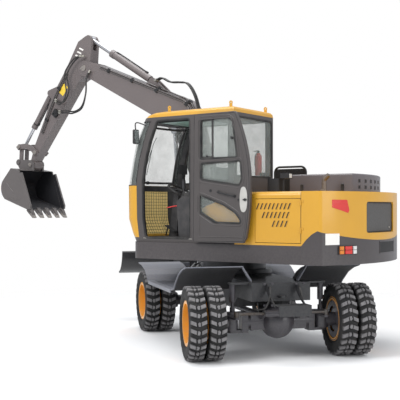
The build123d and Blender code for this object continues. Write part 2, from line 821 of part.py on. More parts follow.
with BuildPart() as work_lamp:
    with BuildSketch(Plane.XY.offset(body_top)):
        with Locations((-1345, 900)):
            Circle(11)
    extrude(amount=180)
    with Locations((-1380, 900, body_top + 210)):
        Box(130, 90, 70)
finish(work_lamp, "rear_work_lamp", UPPER)

with BuildPart() as tank:
    with BuildSketch(Plane.XY.offset(deck_top)):
        with Locations(((body_front_x + 20 + 360) / 2 - 10, -(deck_half_w + 320) / 2)):
            Rectangle(360 - body_front_x - 20, deck_half_w - 320)
    extrude(amount=body_top - deck_top)
    fillet(tank.edges().filter_by(Axis.Z), 50)
    fillet(tank.faces().sort_by(Axis.Z)[-1].edges(), 30)
finish(tank, "hydraulic_tank", UPPER)

with BuildPart() as toolbox:
    with BuildSketch(Plane.XY.offset(deck_top)):
        with Locations((640, -(deck_half_w + 420) / 2)):
            Rectangle(520, deck_half_w - 420)
    extrude(amount=330)
    fillet(toolbox.edges().filter_by(Axis.Z), 50)
finish(toolbox, "tool_box", UPPER)

with BuildPart() as guard:
    with BuildLine() as guard_path:
        FilletPolyline(
            (-150, -950, body_top), (-150, -950, 2560), (-700, -950, 2560), (-700, -950, body_top),
            radius=90,
        )
    with BuildSketch(Plane.XY.offset(body_top).move(Location((-150, -950, 0)))):
        Circle(16)
    sweep(path=guard_path.line)
    with BuildSketch(Plane.XZ.offset(950)):
        with Locations((-425, 2330)):
            Rectangle(520, 400)
    extrude(amount=3, both=True)
finish(guard, "tank_guard", UPPER)

# ================================================================ cab
# height, front edge on the side plane, bulge of the front in the middle
cab_sections = (
    (deck_top, 868.0, 167.0),
    (1560.0, 890.0, 230.0),
    (1760.0, 918.0, 300.0),
    (2300.0, 930.0, 292.0),
    (2600.0, 878.0, 276.0),
    (2880.0, 791.0, 299.0),
    (3060.0, 723.0, 254.0),
    (3205.0, 640.0, 247.0),
)
cab_mid_y = (cab_left_y + cab_right_y) / 2
cab_half_w = (cab_left_y - cab_right_y) / 2


def cab_plan(z, edge_x, bulge, inset=0.0):
    """A level section of the cab: straight sides and back, rounded bulging front."""
    half = cab_half_w - inset
    rear = cab_rear_x + inset
    edge = edge_x - inset
    shoulder = half * 0.66
    with BuildSketch(Plane.XY.offset(z)) as plan:
        with BuildLine():
            Line((rear, cab_mid_y - half), (edge, cab_mid_y - half))
            ThreePointArc(
                (edge, cab_mid_y - half), (edge + bulge * 0.62, cab_mid_y - half * 0.9),
                (edge + bulge * 0.88, cab_mid_y - shoulder),
            )
            ThreePointArc(
                (edge + bulge * 0.88, cab_mid_y - shoulder), (edge + bulge, cab_mid_y),
                (edge + bulge * 0.88, cab_mid_y + shoulder),
            )
            ThreePointArc(
                (edge + bulge * 0.88, cab_mid_y + shoulder),
                (edge + bulge * 0.62, cab_mid_y + half * 0.9), (edge, cab_mid_y + half),
            )
            Line((edge, cab_mid_y + half), (rear, cab_mid_y + half))
            Line((rear, cab_mid_y + half), (rear, cab_mid_y - half))
        make_face()
    return plan


def cab_solid(inset=0.0, floor=0.0):
    """The cab's outer form, or with an inset its inner room above the floor."""
    with BuildPart() as form:
        for z, edge_x, bulge in cab_sections:
            add(cab_plan(z + (floor if z == deck_top else 0.0), edge_x, bulge, inset).sketch)
        loft(ruled=True)
    return form.part


def side_face(points, radius=40.0):
    """A side panel's outline in the upper's vertical plane, with rounded corners."""
    with BuildSketch(Plane.XZ) as outline:
        with BuildLine():
            Polyline(*points, close=True)
        make_face()
        if radius:
            fillet(outline.vertices(), radius)
    return outline.sketch


def edge_at(z):
    """The side plane's front edge at height z, between the cab's sections."""
    for (z0, x0, _), (z1, x1, _) in zip(cab_sections, cab_sections[1:]):
        if z <= z1:
            return x0 + (x1 - x0) * (z - z0) / (z1 - z0)
    return cab_sections[-1][1]


pillar = 95.0
door_pillar = 112.0
header_z = 3150.0             # top of the doorway and of all windows
sill_z = 1500.0               # the floor's edge under the front
nose_top = 2250.0
window_low = 2290.0
quarter_light = [
    (cab_rear_x + 90, window_low), (door_rear_x - 70, window_low),
    (door_rear_x - 70, header_z), (cab_rear_x + 90, header_z),
]
right_windows = (
    [(cab_rear_x + 90, window_low), (-120, window_low), (-120, header_z), (cab_rear_x + 90, header_z)],
    [(-40, window_low)] + [(edge_at(z) - pillar, z) for z in (window_low, 2600, 2880, header_z)]
    + [(-40, header_z)],
    [(120, 1560), (edge_at(1600) - pillar - 10, 1560), (edge_at(2200) - pillar, 2200), (120, 2200)],
)
rear_window_w = 2 * cab_half_w - 70
rear_window = (2345.0, header_z)


def front_face(low, high, gap=0.0):
    """The side view of all that lies ahead of the side planes' front edges."""
    heights = [low] + [z for z, _, _ in cab_sections if low < z < high] + [high]
    line = [(edge_at(z) + gap, z) for z in heights]
    return side_face(line + [(cab_sections[3][1] + 500, high), (cab_sections[3][1] + 500, low)], 0)


with BuildPart() as cab:
    add(cab_solid())
    add(cab_solid(cab_wall, cab_floor_t), mode=Mode.SUBTRACT)
    # doorway on the left
    doorway = [(door_rear_x + 70, door_sill_z + 40)]
    doorway += [
        (edge_at(z) - door_pillar, z)
        for z in (door_sill_z + 40, 1760, 2300, 2600, 2880, header_z)
    ]
    doorway += [(door_rear_x + 70, header_z)]
    for opening, radius in ((doorway, 30), (quarter_light, 40)):
        with BuildSketch(Plane.XZ.offset(-(cab_left_y - cab_wall - 60))):
            add(side_face(opening, radius))
        extrude(amount=-400, mode=Mode.SUBTRACT)
    # two upper and one lower window on the right
    for outline in right_windows:
        with BuildSketch(Plane.XZ.offset(-(cab_right_y + cab_wall + 60))):
            add(side_face(outline))
        extrude(amount=400, mode=Mode.SUBTRACT)
    # rear window
    with BuildSketch(Plane.YZ.offset(cab_rear_x + 100)):
        with Locations((cab_mid_y, sum(rear_window) / 2)):
            Rectangle(rear_window_w, rear_window[1] - rear_window[0])
        fillet(vertices(), 50)
    extrude(amount=-300, mode=Mode.SUBTRACT)
    # the whole front, which the windscreen and the nose panel close
    with BuildSketch(Plane.XZ.offset(-(cab_left_y + 50))):
        add(front_face(sill_z, header_z))
    extrude(amount=2 * cab_half_w + 100, mode=Mode.SUBTRACT)
    # fixed halves of the door's hinges
    for z in hinge_heights:
        low = z + hinge_leaf / 2 + seat_gap
        with BuildSketch(Plane.XY.offset(low)):
            with Locations((door_hinge_x, (cab_left_y + door_hinge_y) / 2)):
                Rectangle(20, door_hinge_y - cab_left_y)
            with Locations((door_hinge_x, door_hinge_y)):
                Circle(16)
        extrude(amount=45)

# both side walls and what stands between them, each a weldment of its own
side_seam = cab_half_w - cab_wall
for name, low, high in (
    ("cab_right_side", -cab_half_w - 100, -side_seam - seam_gap),
    ("cab_frame", -side_seam, side_seam),
    ("cab_left_side", side_seam + seam_gap, cab_half_w + 100),
):
    with BuildPart() as band:
        add(cab.part)
        with Locations((0, cab_mid_y + (low + high) / 2, (deck_top + cab_roof_top) / 2)):
            Box(4000, high - low, 2400, mode=Mode.INTERSECT)
    finish(band, name, UPPER)

# the nose panel closes the lower front, flush with the side walls
with BuildPart() as nose:
    add(cab_solid())
    add(cab_solid(cab_wall - 10, cab_floor_t), mode=Mode.SUBTRACT)
    with BuildSketch(Plane.XZ.offset(-(cab_left_y + 50))):
        add(front_face(sill_z + seam_gap, nose_top - seam_gap, seam_gap))
    extrude(amount=2 * cab_half_w + 100, mode=Mode.INTERSECT)
finish(nose, "cab_nose_panel", UPPER)

with BuildPart() as side_glass:
    add(cab_solid(8))
    add(cab_solid(8 + glass_t, cab_floor_t), mode=Mode.SUBTRACT)
    with BuildSketch(Plane.XZ.offset(-(cab_left_y + 50))):
        add(front_face(nose_top, header_z - seam_gap, seam_gap))
    extrude(amount=2 * cab_half_w + 100, mode=Mode.INTERSECT)
    panes = [(outline, cab_right_y + 8 + glass_t) for outline in right_windows]
    for outline, y in panes + [(quarter_light, cab_left_y - 8)]:
        with BuildSketch(Plane.XZ.offset(-y)):
            add(side_face(outline))
            offset(amount=-2 * seam_gap, mode=Mode.REPLACE)
        extrude(amount=glass_t)
    with BuildSketch(Plane.YZ.offset(cab_rear_x + 8)):
        with Locations((cab_mid_y, sum(rear_window) / 2)):
            Rectangle(rear_window_w - 2, rear_window[1] - rear_window[0] - 2)
        fillet(vertices(), 49)
    extrude(amount=glass_t)
finish(side_glass, "cab_glass", UPPER)

with BuildPart() as roof:
    top_z, top_x, top_bulge = cab_sections[-1]
    for z, back, inset in ((top_z, 0, 0), (3245, 45, 5), (3270, 100, 25), (cab_roof_top, 180, 70)):
        add(cab_plan(z, top_x - back, top_bulge - back / 4, inset).sketch)
    loft(ruled=True)
    with BuildSketch(Plane.XY.offset(top_z)):
        with Locations((-60, cab_mid_y)):
            Rectangle(1100, 820)
    extrude(amount=45, mode=Mode.SUBTRACT)
    for x, y in bracket_places:
        with BuildSketch(Plane.XZ.offset(-y)):
            with Locations((x, cab_roof_top)):
                Rectangle(44, 100)
            with Locations((x, cab_roof_top + 50)):
                Circle(26)
                Circle(bracket_eye_r, mode=Mode.SUBTRACT)
        extrude(amount=5, both=True)
finish(roof, "cab_roof", UPPER)

# ---------------------------------------------------------------- door
DOOR = (
    Location((door_hinge_x, door_hinge_y, 0)) * Location((0, 0, 0), (0, 0, door_open_deg))
    * Location((-door_hinge_x, -door_hinge_y, 0))
)
door_plane_y = cab_left_y + 3.0
upper_pane = [(45, 2587), (638, 2587), (566, 3063), (500, 3112), (45, 3108)]
middle_pane = [(54, 2310), (54, 2513), (690, 2533), (712, 2297), (675, 2219)]
lower_pane = [
    (31, 1865), (31, 2094), (425, 1958), (613, 1852), (690, 1761), (690, 1722), (281, 1731),
]
pane_r = 25.0


def door_sheet(plane):
    """The door's outline: a straight hinge side and a front edge bowed in two arcs."""
    with BuildSketch(plane) as outline:
        with BuildLine():
            Polyline(
                (629, 3164), (600, door_top_z), (door_rear_x, door_top_z),
                (door_rear_x - 17, door_sill_z), (737, door_sill_z), (782, 1528),
            )
            ThreePointArc((782, 1528), (840, 1931), (849, 2268))
            ThreePointArc((849, 2268), (782, 2738), (629, 3164))
        make_face()
    return outline.sketch


with BuildPart() as door:
    with BuildSketch(Plane.XZ.offset(-door_plane_y)):
        add(door_sheet(Plane.XZ))
    extrude(amount=-door_t)
    corners = door.edges().filter_by(Axis.Y)
    fillet([e for e in corners if not door_sill_z + 60 < e.center().Z < 3140], 18)
    for pane in (upper_pane, middle_pane, lower_pane):
        with BuildSketch(Plane.XZ.offset(-(door_plane_y - 5))):
            add(side_face(pane, pane_r))
        extrude(amount=-door_t - 10, mode=Mode.SUBTRACT)
    for z in hinge_heights:
        with BuildSketch(Plane.XY.offset(z - hinge_leaf / 2)):
            with Locations(((door_hinge_x + door_rear_x) / 2 + 10, door_hinge_y)):
                Rectangle(door_rear_x - door_hinge_x + 20, 20)
            with Locations((door_hinge_x, door_hinge_y)):
                Circle(16)
        extrude(amount=hinge_leaf)
finish(door, "cab_door", UPPER * DOOR)

with BuildPart() as door_glass:
    for pane in (upper_pane, middle_pane, lower_pane):
        with BuildSketch(Plane.XZ.offset(-(door_plane_y + door_t / 2))) as pane_face:
            add(side_face(pane, pane_r))
            offset(amount=-seam_gap, mode=Mode.REPLACE)
        extrude(amount=glass_t / 2, both=True)
finish(door_glass, "cab_door_glass", UPPER * DOOR)

# ---------------------------------------------------------------- inside the cab
floor_top = deck_top + cab_floor_t
seat_x = 60.0
seat_y = cab_mid_y + 20.0
with BuildPart() as controls:
    # pedestal under the seat
    with BuildSketch(Plane.XY.offset(floor_top)):
        with Locations((seat_x, seat_y)):
            Rectangle(420, 400)
    extrude(amount=seat_height, taper=5)
    # a console with a lever on each side
    for side in (-1, 1):
        with BuildSketch(Plane.XZ.offset(-(seat_y + side * 325))):
            with BuildLine():
                Polyline(
                    (seat_x - 280, floor_top), (seat_x + 190, floor_top),
                    (seat_x + 230, floor_top + 520), (seat_x + 130, floor_top + 600),
                    (seat_x - 280, floor_top + 560), close=True,
                )
            make_face()
        extrude(amount=65, both=True)
        with BuildSketch(Plane.XY.offset(floor_top + 540)):
            with Locations((seat_x + 150, seat_y + side * 325)):
                Circle(14)
        extrude(amount=180)
        with Locations((seat_x + 150, seat_y + side * 325, floor_top + 760)):
            Cylinder(26, 110)
    # plinth that carries the seat, the consoles and the steering column
    with BuildSketch(Plane.XY.offset(floor_top)):
        with Locations((seat_x + 170, seat_y)):
            Rectangle(900, 790)
    extrude(amount=25)
    with BuildSketch(Plane.XZ.offset(-seat_y)):
        with BuildLine():
            Polyline(
                (seat_x + 470, floor_top), (seat_x + 620, floor_top),
                (seat_x + 520, floor_top + 640), (seat_x + 440, floor_top + 640), close=True,
            )
        make_face()
    extrude(amount=60, both=True)
    wheel_plane = Plane(
        origin=(seat_x + 465, seat_y, floor_top + 690), x_dir=(0, 1, 0), z_dir=(-0.5, 0, 0.866)
    )
    with BuildSketch(wheel_plane):
        Circle(185)
        Circle(160, mode=Mode.SUBTRACT)
        Rectangle(330, 30)
        Circle(45)
    extrude(amount=13, both=True)
    with BuildSketch(wheel_plane):
        Circle(28)
    extrude(amount=-80)
finish(controls, "cab_controls", UPPER)

with BuildPart() as seat:
    with BuildSketch(Plane.XY.offset(floor_top + seat_height)):
        with Locations((seat_x + 30, seat_y)):
            RectangleRounded(480, 470, 70)
    extrude(amount=110)
    with BuildSketch(Plane.XZ.offset(-seat_y)):
        with BuildLine():
            Polyline(
                (seat_x - 210, floor_top + seat_height + 60),
                (seat_x - 110, floor_top + seat_height + 100),
                (seat_x - 220, floor_top + seat_height + 700),
                (seat_x - 300, floor_top + seat_height + 710), close=True,
            )
        make_face()
    extrude(amount=225, both=True)
finish(seat, "operator_seat", UPPER)


# ================================================================ boom
def plates(outline, inner, thick, bosses=()):
    """Two mirrored side plates: an outline with round ends, from |y| = inner outwards."""
    for side in (-1, 1):
        with BuildSketch(Plane.XZ.offset(-side * inner)) as face:
            with BuildLine():
                Polyline(*outline, close=True)
            make_face()
            for centre, radius in bosses:
                with Locations(centre):
                    Circle(radius)
        yield extrude(face.sketch, amount=-side * thick, mode=Mode.PRIVATE)


def pin_bosses(centre, radius, inner, outer):
    """A round boss on each side of the middle plane, from |y| = inner to outer."""
    for side in (-1, 1):
        middle = side * (inner + outer) / 2
        yield Location((centre[0], middle, centre[1])) * Cylinder(
            radius, outer - inner, rotation=(90, 0, 0), mode=Mode.PRIVATE
        )


def cylinder_pair(name, frame, pins, barrel_len, radii, eye_r, widths, inside, neck, ys=(0.0,)):
    """A hydraulic cylinder along local +X. pins is the distance between its two pins, radii the
    barrel's and the rod's, widths those of the base eye and the rod's eye, inside how much of
    the rod is in the barrel, and neck where the barrel's full width begins."""
    barrel_r, rod_r = radii
    base_w, rod_w = widths
    with BuildPart() as barrel:
        for y in ys:
            with Locations((0, y, 0)):
                Cylinder(eye_r, base_w, rotation=(90, 0, 0))
            with BuildSketch(Plane.YZ.offset(eye_r * 0.6)):
                with Locations((y, 0)):
                    Circle(base_w / 2 - 3)
            extrude(amount=neck)
            with BuildSketch(Plane.YZ.offset(neck)):
                with Locations((y, 0)):
                    Circle(barrel_r)
            extrude(amount=barrel_len - neck)
            with BuildSketch(Plane.YZ.offset(barrel_len - gland_len)):
                with Locations((y, 0)):
                    Circle(barrel_r + 7)
            extrude(amount=gland_len)
            with BuildSketch(Plane.YZ.offset(neck + 8)):
                with Locations((y, 0)):
                    Circle(rod_r + run_gap)
            extrude(amount=barrel_len, mode=Mode.SUBTRACT)
            if abs(y) > 0:
                with Locations((0, y, 0)):
                    Cylinder(boom_pin_r + run_gap, 2 * base_w, rotation=(90, 0, 0), mode=Mode.SUBTRACT)
    finish(barrel, f"{name}_barrel", frame)
    with BuildPart() as rod:
        for y in ys:
            with BuildSketch(Plane.YZ.offset(barrel_len - inside)):
                with Locations((y, 0)):
                    Circle(rod_r)
            extrude(amount=pins - barrel_len + inside - eye_r * 0.6)
            with Locations((pins, y, 0)):
                Cylinder(eye_r, rod_w, rotation=(90, 0, 0))
    finish(rod, f"{name}_rod", frame)


def aim(frame, start, end):
    """(frame of a cylinder from start towards end, the distance between them), in frame's plane."""
    dx, dz = end[0] - start[0], end[1] - start[1]
    return frame * Location((start[0], 0, start[1])) * turned(degrees(atan2(dz, dx))), hypot(dx, dz)


arm_half = arm_width / 2
fork_half = arm_half + pivot_gap
with BuildPart() as boom:
    with BuildSketch(Plane.XZ):
        with BuildLine():
            Line((-60, 115), (1330, knee_top - 110))
            ThreePointArc((1330, knee_top - 110), (1600, knee_top + 8), (1900, knee_top - 75))
            Line((1900, knee_top - 75), (boom_len - 143, 225))
            Line((boom_len - 143, 225), (boom_len + 40, 124))
            Line((boom_len + 40, 124), (boom_len - 60, -115))
            Line((boom_len - 60, -115), (boom_len - 290, -20))
            Line((boom_len - 290, -20), (2051, 402))
            ThreePointArc((2051, 402), (1640, 470), (1250, 400))
            Line((1250, 400), (70, -105))
            Line((70, -105), (-60, 115))
        make_face()
        Circle(125)
        with Locations((boom_len, 0)):
            Circle(130)
    extrude(amount=boom_width / 2, both=True)
    # fork for the arm
    with BuildSketch(Plane.XZ):
        with Locations((boom_len + 150, 0)):
            Rectangle(2 * boom_fork_depth + 300, 900)
    extrude(amount=fork_half, both=True, mode=Mode.SUBTRACT)
    for boss in pin_bosses((boom_len, 0), 80, arm_half + seat_gap, fork_half + 1):
        add(boss)
    # plates for the arm cylinder's base
    for plate in plates(
        [(2134, 740), (2134, 835), (arm_cyl_base[0] - 20, arm_cyl_base[1] + 66),
         (arm_cyl_base[0] + 60, arm_cyl_base[1] - 30), (arm_cyl_base[0] + 80, 600)],
        arm_cyl_eye_w / 2 + seat_gap, 26, [(arm_cyl_base, 68)],
    ):
        add(plate)
    # bosses for the rods of the boom cylinders
    for boss in pin_bosses(
        boom_cyl_eye, 62, boom_width / 2 - 1, boom_width / 2 + pivot_gap + foot_plate_t
    ):
        add(boss)
finish(boom, "boom", BOOM)

# ================================================================ arm
with BuildPart() as arm:
    with BuildSketch(Plane.XZ):
        with BuildLine():
            Polyline(
                (-470, 190), (-170, -20), (-70, -85), (110, -85), (250, -15),
                (arm_len - 60, -10), (arm_len - 60, 60), (arm_len - 285, 141),
                (1253, 240), (1006, 304), (660, 350), (246, 364), (-270, 420), (-440, 335),
                close=True,
            )
        make_face()
        with Locations((0, 0), (arm_len, 0)):
            Circle(90)
        with Locations(horn):
            Circle(62)
    extrude(amount=arm_half, both=True)
    # fork for the arm cylinder's eye
    with BuildSketch(Plane.XZ):
        with Locations((horn[0] - 60, horn[1] + 20)):
            Rectangle(330, 500, rotation=25)
    extrude(amount=arm_cyl_eye_w / 2 + seat_gap, both=True, mode=Mode.SUBTRACT)
    for plate in plates(
        [(560, 340), (780, 505), (820, 515), (865, 440), (885, 320), (700, 330)],
        bucket_cyl_eye_w / 2 + seat_gap, 22, [(bucket_cyl_base, 52)],
    ):
        add(plate)
finish(arm, "arm", ARM)

# ================================================================ bucket linkage
p2 = point_in(ARM_IN_UPPER, *rocker_pin)
p3 = (tip_x + link_pin[0], tip_z + link_pin[1])
span = hypot(p3[0] - p2[0], p3[1] - p2[1])
along = (rocker_len**2 - link_len**2 + span**2) / (2 * span)
height = sqrt(rocker_len**2 - along**2)
ux, uz = (p3[0] - p2[0]) / span, (p3[1] - p2[1]) / span
p1 = (p2[0] + along * ux - height * uz, p2[1] + along * uz + height * ux)
ROCKER = UPPER * Location((p2[0], boom_y, p2[1])) * turned(
    degrees(atan2(p1[1] - p2[1], p1[0] - p2[0]))
)
LINK = UPPER * Location((p3[0], boom_y, p3[1])) * turned(
    degrees(atan2(p1[1] - p3[1], p1[0] - p3[0]))
)

with BuildPart() as rocker:
    for side in (-1, 1):
        with BuildSketch(Plane.XZ.offset(-side * fork_half)):
            with BuildLine():
                ThreePointArc((0, 50), (rocker_len / 2, 100), (rocker_len, 48))
                Line((rocker_len, 48), (rocker_len, -48))
                ThreePointArc((rocker_len, -48), (rocker_len / 2, 12), (0, -50))
                Line((0, -50), (0, 50))
            make_face()
            with Locations((0, 0), (rocker_len, 0)):
                Circle(55)
        extrude(amount=-side * rocker_t)
    for centre in ((0, 0), (rocker_len, 0)):
        for boss in pin_bosses(centre, 42, arm_half + seat_gap, fork_half + rocker_t + 12):
            add(boss)
finish(rocker, "bucket_rocker", ROCKER)

with BuildPart() as link:
    eye_half = bucket_cyl_eye_w / 2 + seat_gap
    for side in (-1, 1):
        with BuildSketch(Plane.XZ.offset(-side * (eye_half + 12))):
            with BuildLine():
                Polyline((0, 42), (link_len, 42), (link_len, -42), (0, -42), close=True)
            make_face()
        extrude(amount=-side * 26)
    for boss in pin_bosses((link_len, 0), 50, eye_half, arm_half):
        add(boss)
    Cylinder(50, 2 * arm_half, rotation=(90, 0, 0))
finish(link, "bucket_link", LINK)

# bucket as it hangs, tip pin at the origin
half_b = bucket_width / 2
bucket_profile = [(-13, -105), (190, -70), (406, -296), (342, -616), (-250, -810)]
with BuildPart() as bucket:
    # shell: back, floor and sides, open towards the machine
    with BuildSketch(Plane.XZ):
        with BuildLine():
            Line((-13, -105), (190, -70))
            Line((190, -70), (406, -296))
            ThreePointArc((406, -296), (436, -460), (342, -616))
            Line((342, -616), (-250, -810))
            Line((-250, -810), (-13, -105))
        make_face()
    extrude(amount=half_b, both=True)
    with BuildSketch(Plane.XZ):
        with BuildLine():
            Line((-160, -127), (182, -92))
            Line((182, -92), (388, -306))
            ThreePointArc((388, -306), (414, -458), (330, -598))
            Line((330, -598), (-420, -844))
            Line((-420, -844), (-160, -127))
        make_face()
    extrude(amount=half_b - bucket_side_t, both=True, mode=Mode.SUBTRACT)
    # ears for the arm and the link
    for plate in plates(
        [(-75, -110), (-70, 30), (0, 80), (link_pin[0], link_pin[1] + 55),
         (link_pin[0] + 45, link_pin[1]), (250, -100)],
        fork_half, bucket_ear_t, [((0, 0), 80), (link_pin, 55)],
    ):
        add(plate)
    for boss in pin_bosses((0, 0), 52, arm_half + seat_gap, fork_half + bucket_ear_t + 14):
        add(boss)
    for boss in pin_bosses(link_pin, 42, arm_half + seat_gap, fork_half + bucket_ear_t + 14):
        add(boss)
    # cutting lip and teeth
    with BuildSketch(Plane.XZ):
        with BuildLine():
            Polyline((-170, -762), (-176, -783), (-292, -824), (-286, -802), close=True)
        make_face()
    extrude(amount=half_b, both=True)
    for i in range(tooth_count):
        y = (i - (tooth_count - 1) / 2) * (bucket_width - tooth_w) / (tooth_count - 1)
        with BuildSketch(Plane.XZ.offset(-y)):
            with BuildLine():
                Polyline(
                    (-232, -782), (-240, -822), (-290, -850), (-366, -949), (-322, -836),
                    (-290, -790), close=True,
                )
            make_face()
        extrude(amount=tooth_w / 2, both=True)
    # side cutters
    for plate in plates(
        [(-35, -170), (-255, -800), (-310, -790), (-318, -730), (-90, -150)],
        half_b - bucket_side_t, bucket_side_t + 14,
    ):
        add(plate)
finish(bucket, "bucket", BUCKET)

# ================================================================ hydraulic cylinders
place, reach = aim(BOOM, arm_cyl_base, point_in(ARM_IN_BOOM, *horn))
cylinder_pair(
    "arm_cylinder", place, reach, 1060.0, (60.0, 35.0), 60.0,
    (arm_cyl_eye_w, arm_cyl_eye_w), arm_rod_inside, 95.0,
)

p1_in_arm = (ARM_IN_UPPER.inverse() * Location((p1[0], boom_y, p1[1]))).position
place, reach = aim(ARM, bucket_cyl_base, (p1_in_arm.X, p1_in_arm.Z))
cylinder_pair(
    "bucket_cylinder", place, reach, 740.0, (48.0, 29.0), 46.0,
    (bucket_cyl_eye_w, bucket_cyl_eye_w), bucket_rod_inside, 75.0,
)

boom_cyl_y = boom_width / 2 + pivot_gap + foot_plate_t + seat_gap + boom_eye_w / 2
place, reach = aim(
    UPPER * Location((0, boom_y, 0)), boom_cyl_base, point_in(BOOM_IN_UPPER, *boom_cyl_eye)
)
cylinder_pair(
    "boom_cylinder", place, reach, 900.0, (53.0, 32.0), 58.0,
    (boom_eye_w, boom_eye_w), boom_rod_inside, 62.0, ys=(-boom_cyl_y, boom_cyl_y),
)

place, reach = aim(CHASSIS, blade_cyl_base, point_in(BLADE, *blade_cyl_eye))
cylinder_pair(
    "blade_cylinder", place, reach, 420.0, (42.0, 25.0), 40.0,
    (blade_eye_w, blade_eye_w), blade_rod_inside, 62.0,
)

# ================================================================ placing and export
boxes = [piece.bounding_box() for piece in pieces]
low = [min(tuple(box.min)[axis] for box in boxes) for axis in range(3)]
high = [max(tuple(box.max)[axis] for box in boxes) for axis in range(3)]
ROW = Location((-(low[0] + high[0]) / 2, -(low[1] + high[1]) / 2, -low[2]))
for piece in pieces:
    export_step(piece.moved(ROW), f"parts/{piece.label}.step")


def row_point(frame, x=0.0, y=0.0, z=0.0):
    """A point of a frame in the row's metres, as the joints state it."""
    p = (ROW * frame * Location((x, y, z))).position
    return [round(v / 1000, 6) for v in (p.X, p.Y, p.Z)]


for name, frame, point in (
    ("slew", UPPER, (0, 0, deck_bottom)),
    ("steer_left", knuckle_frame(1), (0, 0, 0)),
    ("steer_right", knuckle_frame(-1), (0, 0, 0)),
    ("front_left_wheel", knuckle_frame(1), (0, wheel_offset, 0)),
    ("front_right_wheel", knuckle_frame(-1), (0, wheel_offset, 0)),
    ("rear_left_wheel", CHASSIS, (rear_axle_x, track / 2, axle_z)),
    ("rear_right_wheel", CHASSIS, (rear_axle_x, -track / 2, axle_z)),
    ("steering_rod", CHASSIS, (ram_x, 0, ram_z)),
    ("blade", BLADE, (0, 0, 0)),
    ("blade_barrel", CHASSIS, (blade_cyl_base[0], 0, blade_cyl_base[1])),
    ("blade_eye", BLADE, (blade_cyl_eye[0], 0, blade_cyl_eye[1])),
    ("service_door", UPPER, (service_hinge_x, service_hinge_y, deck_top + 100)),
    ("hood", UPPER, (hood_front_x, 0, body_top + seat_gap)),
    ("cab_door", UPPER, (door_hinge_x, door_hinge_y, 2000)),
    ("boom", BOOM, (0, 0, 0)),
    ("boom_barrel", UPPER, (boom_cyl_base[0], boom_y, boom_cyl_base[1])),
    ("boom_eye", BOOM, (boom_cyl_eye[0], 0, boom_cyl_eye[1])),
    ("arm", ARM, (0, 0, 0)),
    ("arm_barrel", BOOM, (arm_cyl_base[0], 0, arm_cyl_base[1])),
    ("arm_eye", ARM, (horn[0], 0, horn[1])),
    ("bucket", BUCKET, (0, 0, 0)),
    ("bucket_barrel", ARM, (bucket_cyl_base[0], 0, bucket_cyl_base[1])),
    ("rocker", ROCKER, (0, 0, 0)),
    ("rocker_end", ROCKER, (rocker_len, 0, 0)),
    ("link", LINK, (0, 0, 0)),
    ("tow_eye", CHASSIS, (frame_front_x + tow_eye_out, 0, tow_eye_z)),
):
    print(name, row_point(frame, *point))
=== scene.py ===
"""Visual model of a wheeled excavator.

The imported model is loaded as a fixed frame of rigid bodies, and every piece made here rides
on one of them. Lengths are metres in the row frame unless a name says otherwise. Pieces are
surfaces worked out as whole numpy arrays, and finishes are small frozen dataclasses.
"""

import json
import logging
import math
from dataclasses import dataclass
from typing import Any, Sequence

import bpy
import numpy as np
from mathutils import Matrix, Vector

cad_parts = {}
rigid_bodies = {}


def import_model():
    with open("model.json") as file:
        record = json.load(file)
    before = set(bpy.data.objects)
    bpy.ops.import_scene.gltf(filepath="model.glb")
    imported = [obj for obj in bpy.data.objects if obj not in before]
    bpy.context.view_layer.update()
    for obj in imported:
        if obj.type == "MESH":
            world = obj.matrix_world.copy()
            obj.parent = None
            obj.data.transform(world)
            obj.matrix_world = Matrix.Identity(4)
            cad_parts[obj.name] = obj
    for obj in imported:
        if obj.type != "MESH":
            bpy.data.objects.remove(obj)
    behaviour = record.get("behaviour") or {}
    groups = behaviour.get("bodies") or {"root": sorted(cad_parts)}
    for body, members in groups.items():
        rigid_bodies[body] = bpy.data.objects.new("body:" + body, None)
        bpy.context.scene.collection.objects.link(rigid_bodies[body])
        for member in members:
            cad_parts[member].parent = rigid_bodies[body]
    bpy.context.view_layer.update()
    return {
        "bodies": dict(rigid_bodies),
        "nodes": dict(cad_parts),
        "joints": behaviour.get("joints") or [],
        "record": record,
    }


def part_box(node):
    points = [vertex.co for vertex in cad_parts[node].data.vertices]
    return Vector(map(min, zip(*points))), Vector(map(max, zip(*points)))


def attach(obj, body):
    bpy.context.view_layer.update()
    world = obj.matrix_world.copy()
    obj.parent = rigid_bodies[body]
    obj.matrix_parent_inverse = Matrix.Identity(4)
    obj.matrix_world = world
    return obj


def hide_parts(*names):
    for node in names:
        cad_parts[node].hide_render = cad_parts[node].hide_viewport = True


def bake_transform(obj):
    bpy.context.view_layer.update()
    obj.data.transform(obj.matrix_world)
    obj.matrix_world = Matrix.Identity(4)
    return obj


LOG = logging.getLogger("excavator")
Mesh = tuple[np.ndarray, list[tuple[int, ...]]]
Point = Sequence[float]


# ------------------------------------------------------------------ axes
@dataclass(frozen=True)
class Axes:
    """Right-handed axes that stand somewhere in the row frame."""

    origin: np.ndarray
    x: np.ndarray
    y: np.ndarray
    z: np.ndarray

    def place(self, points: np.ndarray) -> np.ndarray:
        """Local points as row points: the origin plus each coordinate along its axis."""
        return self.origin + np.asarray(points, float) @ np.stack([self.x, self.y, self.z])

    def turned(self, at: Point, degrees: float) -> "Axes":
        """Axes at a local point, with x turned up towards z.

        Args:
            at: the new origin, in these axes.
            degrees: the angle of the turn in the x-z plane.

        Returns:
            The turned axes.
        """
        c, s = math.cos(math.radians(degrees)), math.sin(math.radians(degrees))
        return Axes(
            self.place(np.asarray(at, float)[None])[0],
            self.x * c + self.z * s,
            self.y,
            self.z * c - self.x * s,
        )


def unit(vector: np.ndarray) -> np.ndarray:
    """The vector, or each row of an array of them, at length one."""
    return vector / np.linalg.norm(vector, axis=-1, keepdims=True)


